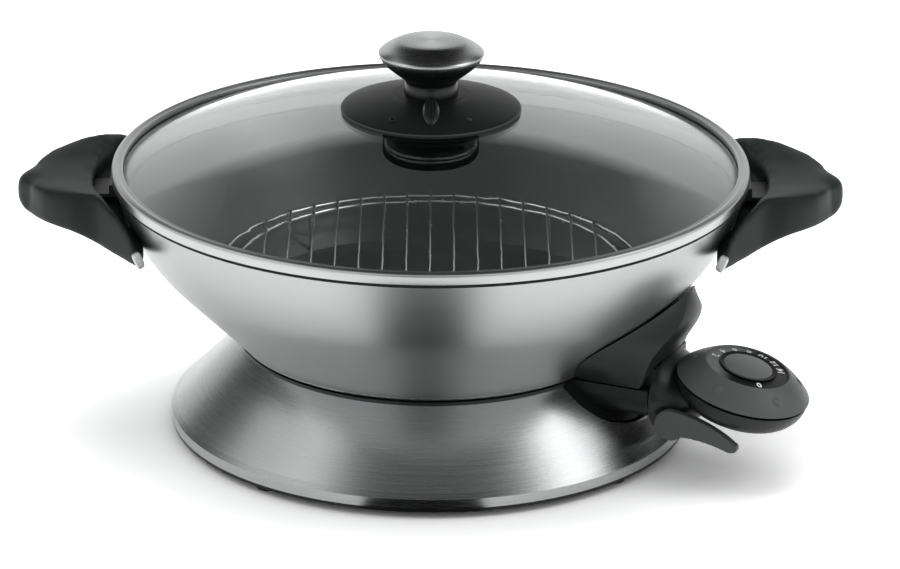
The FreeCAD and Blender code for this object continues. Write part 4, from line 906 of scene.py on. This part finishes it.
class WOK_OT_studio(bpy.types.Operator):
    """Set up the floor, the lamps, the reflecting boards and the camera"""

    bl_idname = "wok.studio"
    bl_label = "Studio"

    def execute(self, context):
        self.floor()
        self.room(context.scene)
        self.lamps()
        self.camera(context.scene)
        context.scene.view_settings.view_transform = "Standard"
        return {"FINISHED"}

    def floor(self):
        """A white floor that shows as white and keeps the wok's shadow."""
        bpy.ops.mesh.primitive_plane_add(size=FLOOR_SIZE)
        floor = bpy.context.object
        floor.name = "floor"
        finish = Finish("floor_white")
        grain = finish.noise(finish.place(), 3, 2)
        finish.set(Base_Color=finish.blend(grain, *FLOOR_COLOURS), Roughness=0.9,
                   Specular_IOR_Level=0.0)
        white = finish.tree.nodes.new("ShaderNodeBsdfDiffuse")
        finish.feed(white.inputs["Color"], FLOOR_SHOWN_COLOUR)
        finish.share_surface(finish.seen_by("Camera", "Glossy", "Transmission"),
                             finish.surface, white)
        floor.data.materials.append(finish.material)

    def room(self, scene):
        """White where it is seen, and the room's own light on dull surfaces."""
        world = bpy.data.worlds.new("studio")
        scene.world = world
        nodes = Nodes(world)
        level = nodes.node("MapRange", {}, nodes.seen_by("Camera", "Glossy", "Transmission"),
                           To_Min=scene.wok_studio.ambient, To_Max=1.0)
        light = nodes.node("Background", {}, Color=(1, 1, 1), Strength=level)
        output = nodes.tree.nodes.new("ShaderNodeOutputWorld")
        nodes.feed(output.inputs["Surface"], light)

    def lamp(self, name, place, size, power, mirrored):
        """An area lamp that faces the wok."""
        bpy.ops.object.light_add(type="AREA", location=place)
        lamp = bpy.context.object
        lamp.name = name
        lamp.data.shape = "RECTANGLE"
        lamp.data.size = size[0]
        lamp.data.size_y = size[1]
        lamp.data.energy = power
        lamp.visible_glossy = mirrored
        lamp.visible_transmission = mirrored
        aim = LAMP_TARGET - lamp.location
        lamp.rotation_euler = aim.to_track_quat("-Z", "Y").to_euler()

    def lamps(self):
        for lamp in LAMPS:
            self.lamp(*lamp)
        for name, corners in BOARDS.items():
            self.board(name, corners)
        ceiling = self.board("ceiling_board", CEILING, CEILING_SOFT_EDGE)
        ceiling.visible_transmission = True

    def board(self, name, corners, soft=0):
        """A black board that only reflections see, clear towards its edges if it is soft."""
        mesh = bpy.data.meshes.new(name)
        mesh.from_pydata(corners, [], [(0, 1, 2, 3)])
        board = bpy.data.objects.new(name, mesh)
        bpy.context.collection.objects.link(board)
        finish = Finish(name + "_black")
        finish.set(Base_Color=BOARD_COLOUR, Roughness=1.0, Specular_IOR_Level=0.0)
        if soft:
            x, y, _ = finish.split(finish.place())
            low, high = Vector(corners[0]), Vector(corners[2])
            inwards, *others = (x - low.x, high.x - x, y - low.y, high.y - y)
            for other in others:
                inwards = inwards.math("MINIMUM", other)
            clear = finish.tree.nodes.new("ShaderNodeBsdfTransparent")
            finish.share_surface(inwards / soft, clear, finish.surface)
        board.data.materials.append(finish.material)
        board.visible_camera = False
        board.visible_diffuse = False
        board.visible_shadow = False
        board.visible_transmission = False
        return board

    def camera(self, scene):
        studio = scene.wok_studio
        target = Vector((0, 0, studio.target_height))
        back = Vector((0, -math.cos(studio.elevation), math.sin(studio.elevation)))
        bpy.ops.object.camera_add(location=target + back * studio.distance)
        camera = bpy.context.object
        camera.name = "camera"
        aim = (-back).to_track_quat("-Z", "Y") @ Quaternion((0, 0, 1), studio.roll)
        camera.rotation_euler = aim.to_euler()
        camera.data.lens = camera.data.sensor_width * studio.distance / studio.frame_width
        camera.data.shift_x = SHIFT_X
        camera.data.shift_y = SHIFT_Y
        camera.data.clip_end = CLIP_END
        scene.camera = camera


class WOK_PT_panel(bpy.types.Panel):
    """Lists the wok's pieces"""

    bl_idname = "WOK_PT_panel"
    bl_label = "Electric Wok"
    bl_space_type = "VIEW_3D"
    bl_region_type = "UI"
    bl_category = "Wok"

    def draw(self, context):
        for operator in OPERATORS:
            self.layout.operator(operator.bl_idname)
        for group in (context.scene.wok_finishes, context.scene.wok_studio):
            for name in group.bl_rna.properties.keys():
                if name not in ("rna_type", "name"):
                    self.layout.prop(group, name)


OPERATORS = (WOK_OT_studio, WOK_OT_base, WOK_OT_socket, WOK_OT_pan, WOK_OT_handles,
             WOK_OT_lid, WOK_OT_knob, WOK_OT_rack, WOK_OT_probe, WOK_OT_dial)
CLASSES = (WokFinishes, WokStudio, *OPERATORS, WOK_PT_panel)


def register():
    for item in CLASSES:
        bpy.utils.register_class(item)
    bpy.types.Scene.wok_finishes = bpy.props.PointerProperty(type=WokFinishes)
    bpy.types.Scene.wok_studio = bpy.props.PointerProperty(type=WokStudio)


def unregister():
    del bpy.types.Scene.wok_studio
    del bpy.types.Scene.wok_finishes
    for item in reversed(CLASSES):
        bpy.utils.unregister_class(item)


def main():
    register()
    for operator in OPERATORS:
        group, name = operator.bl_idname.split(".")
        getattr(getattr(bpy.ops, group), name)()


if __name__ == "__main__":
    main()
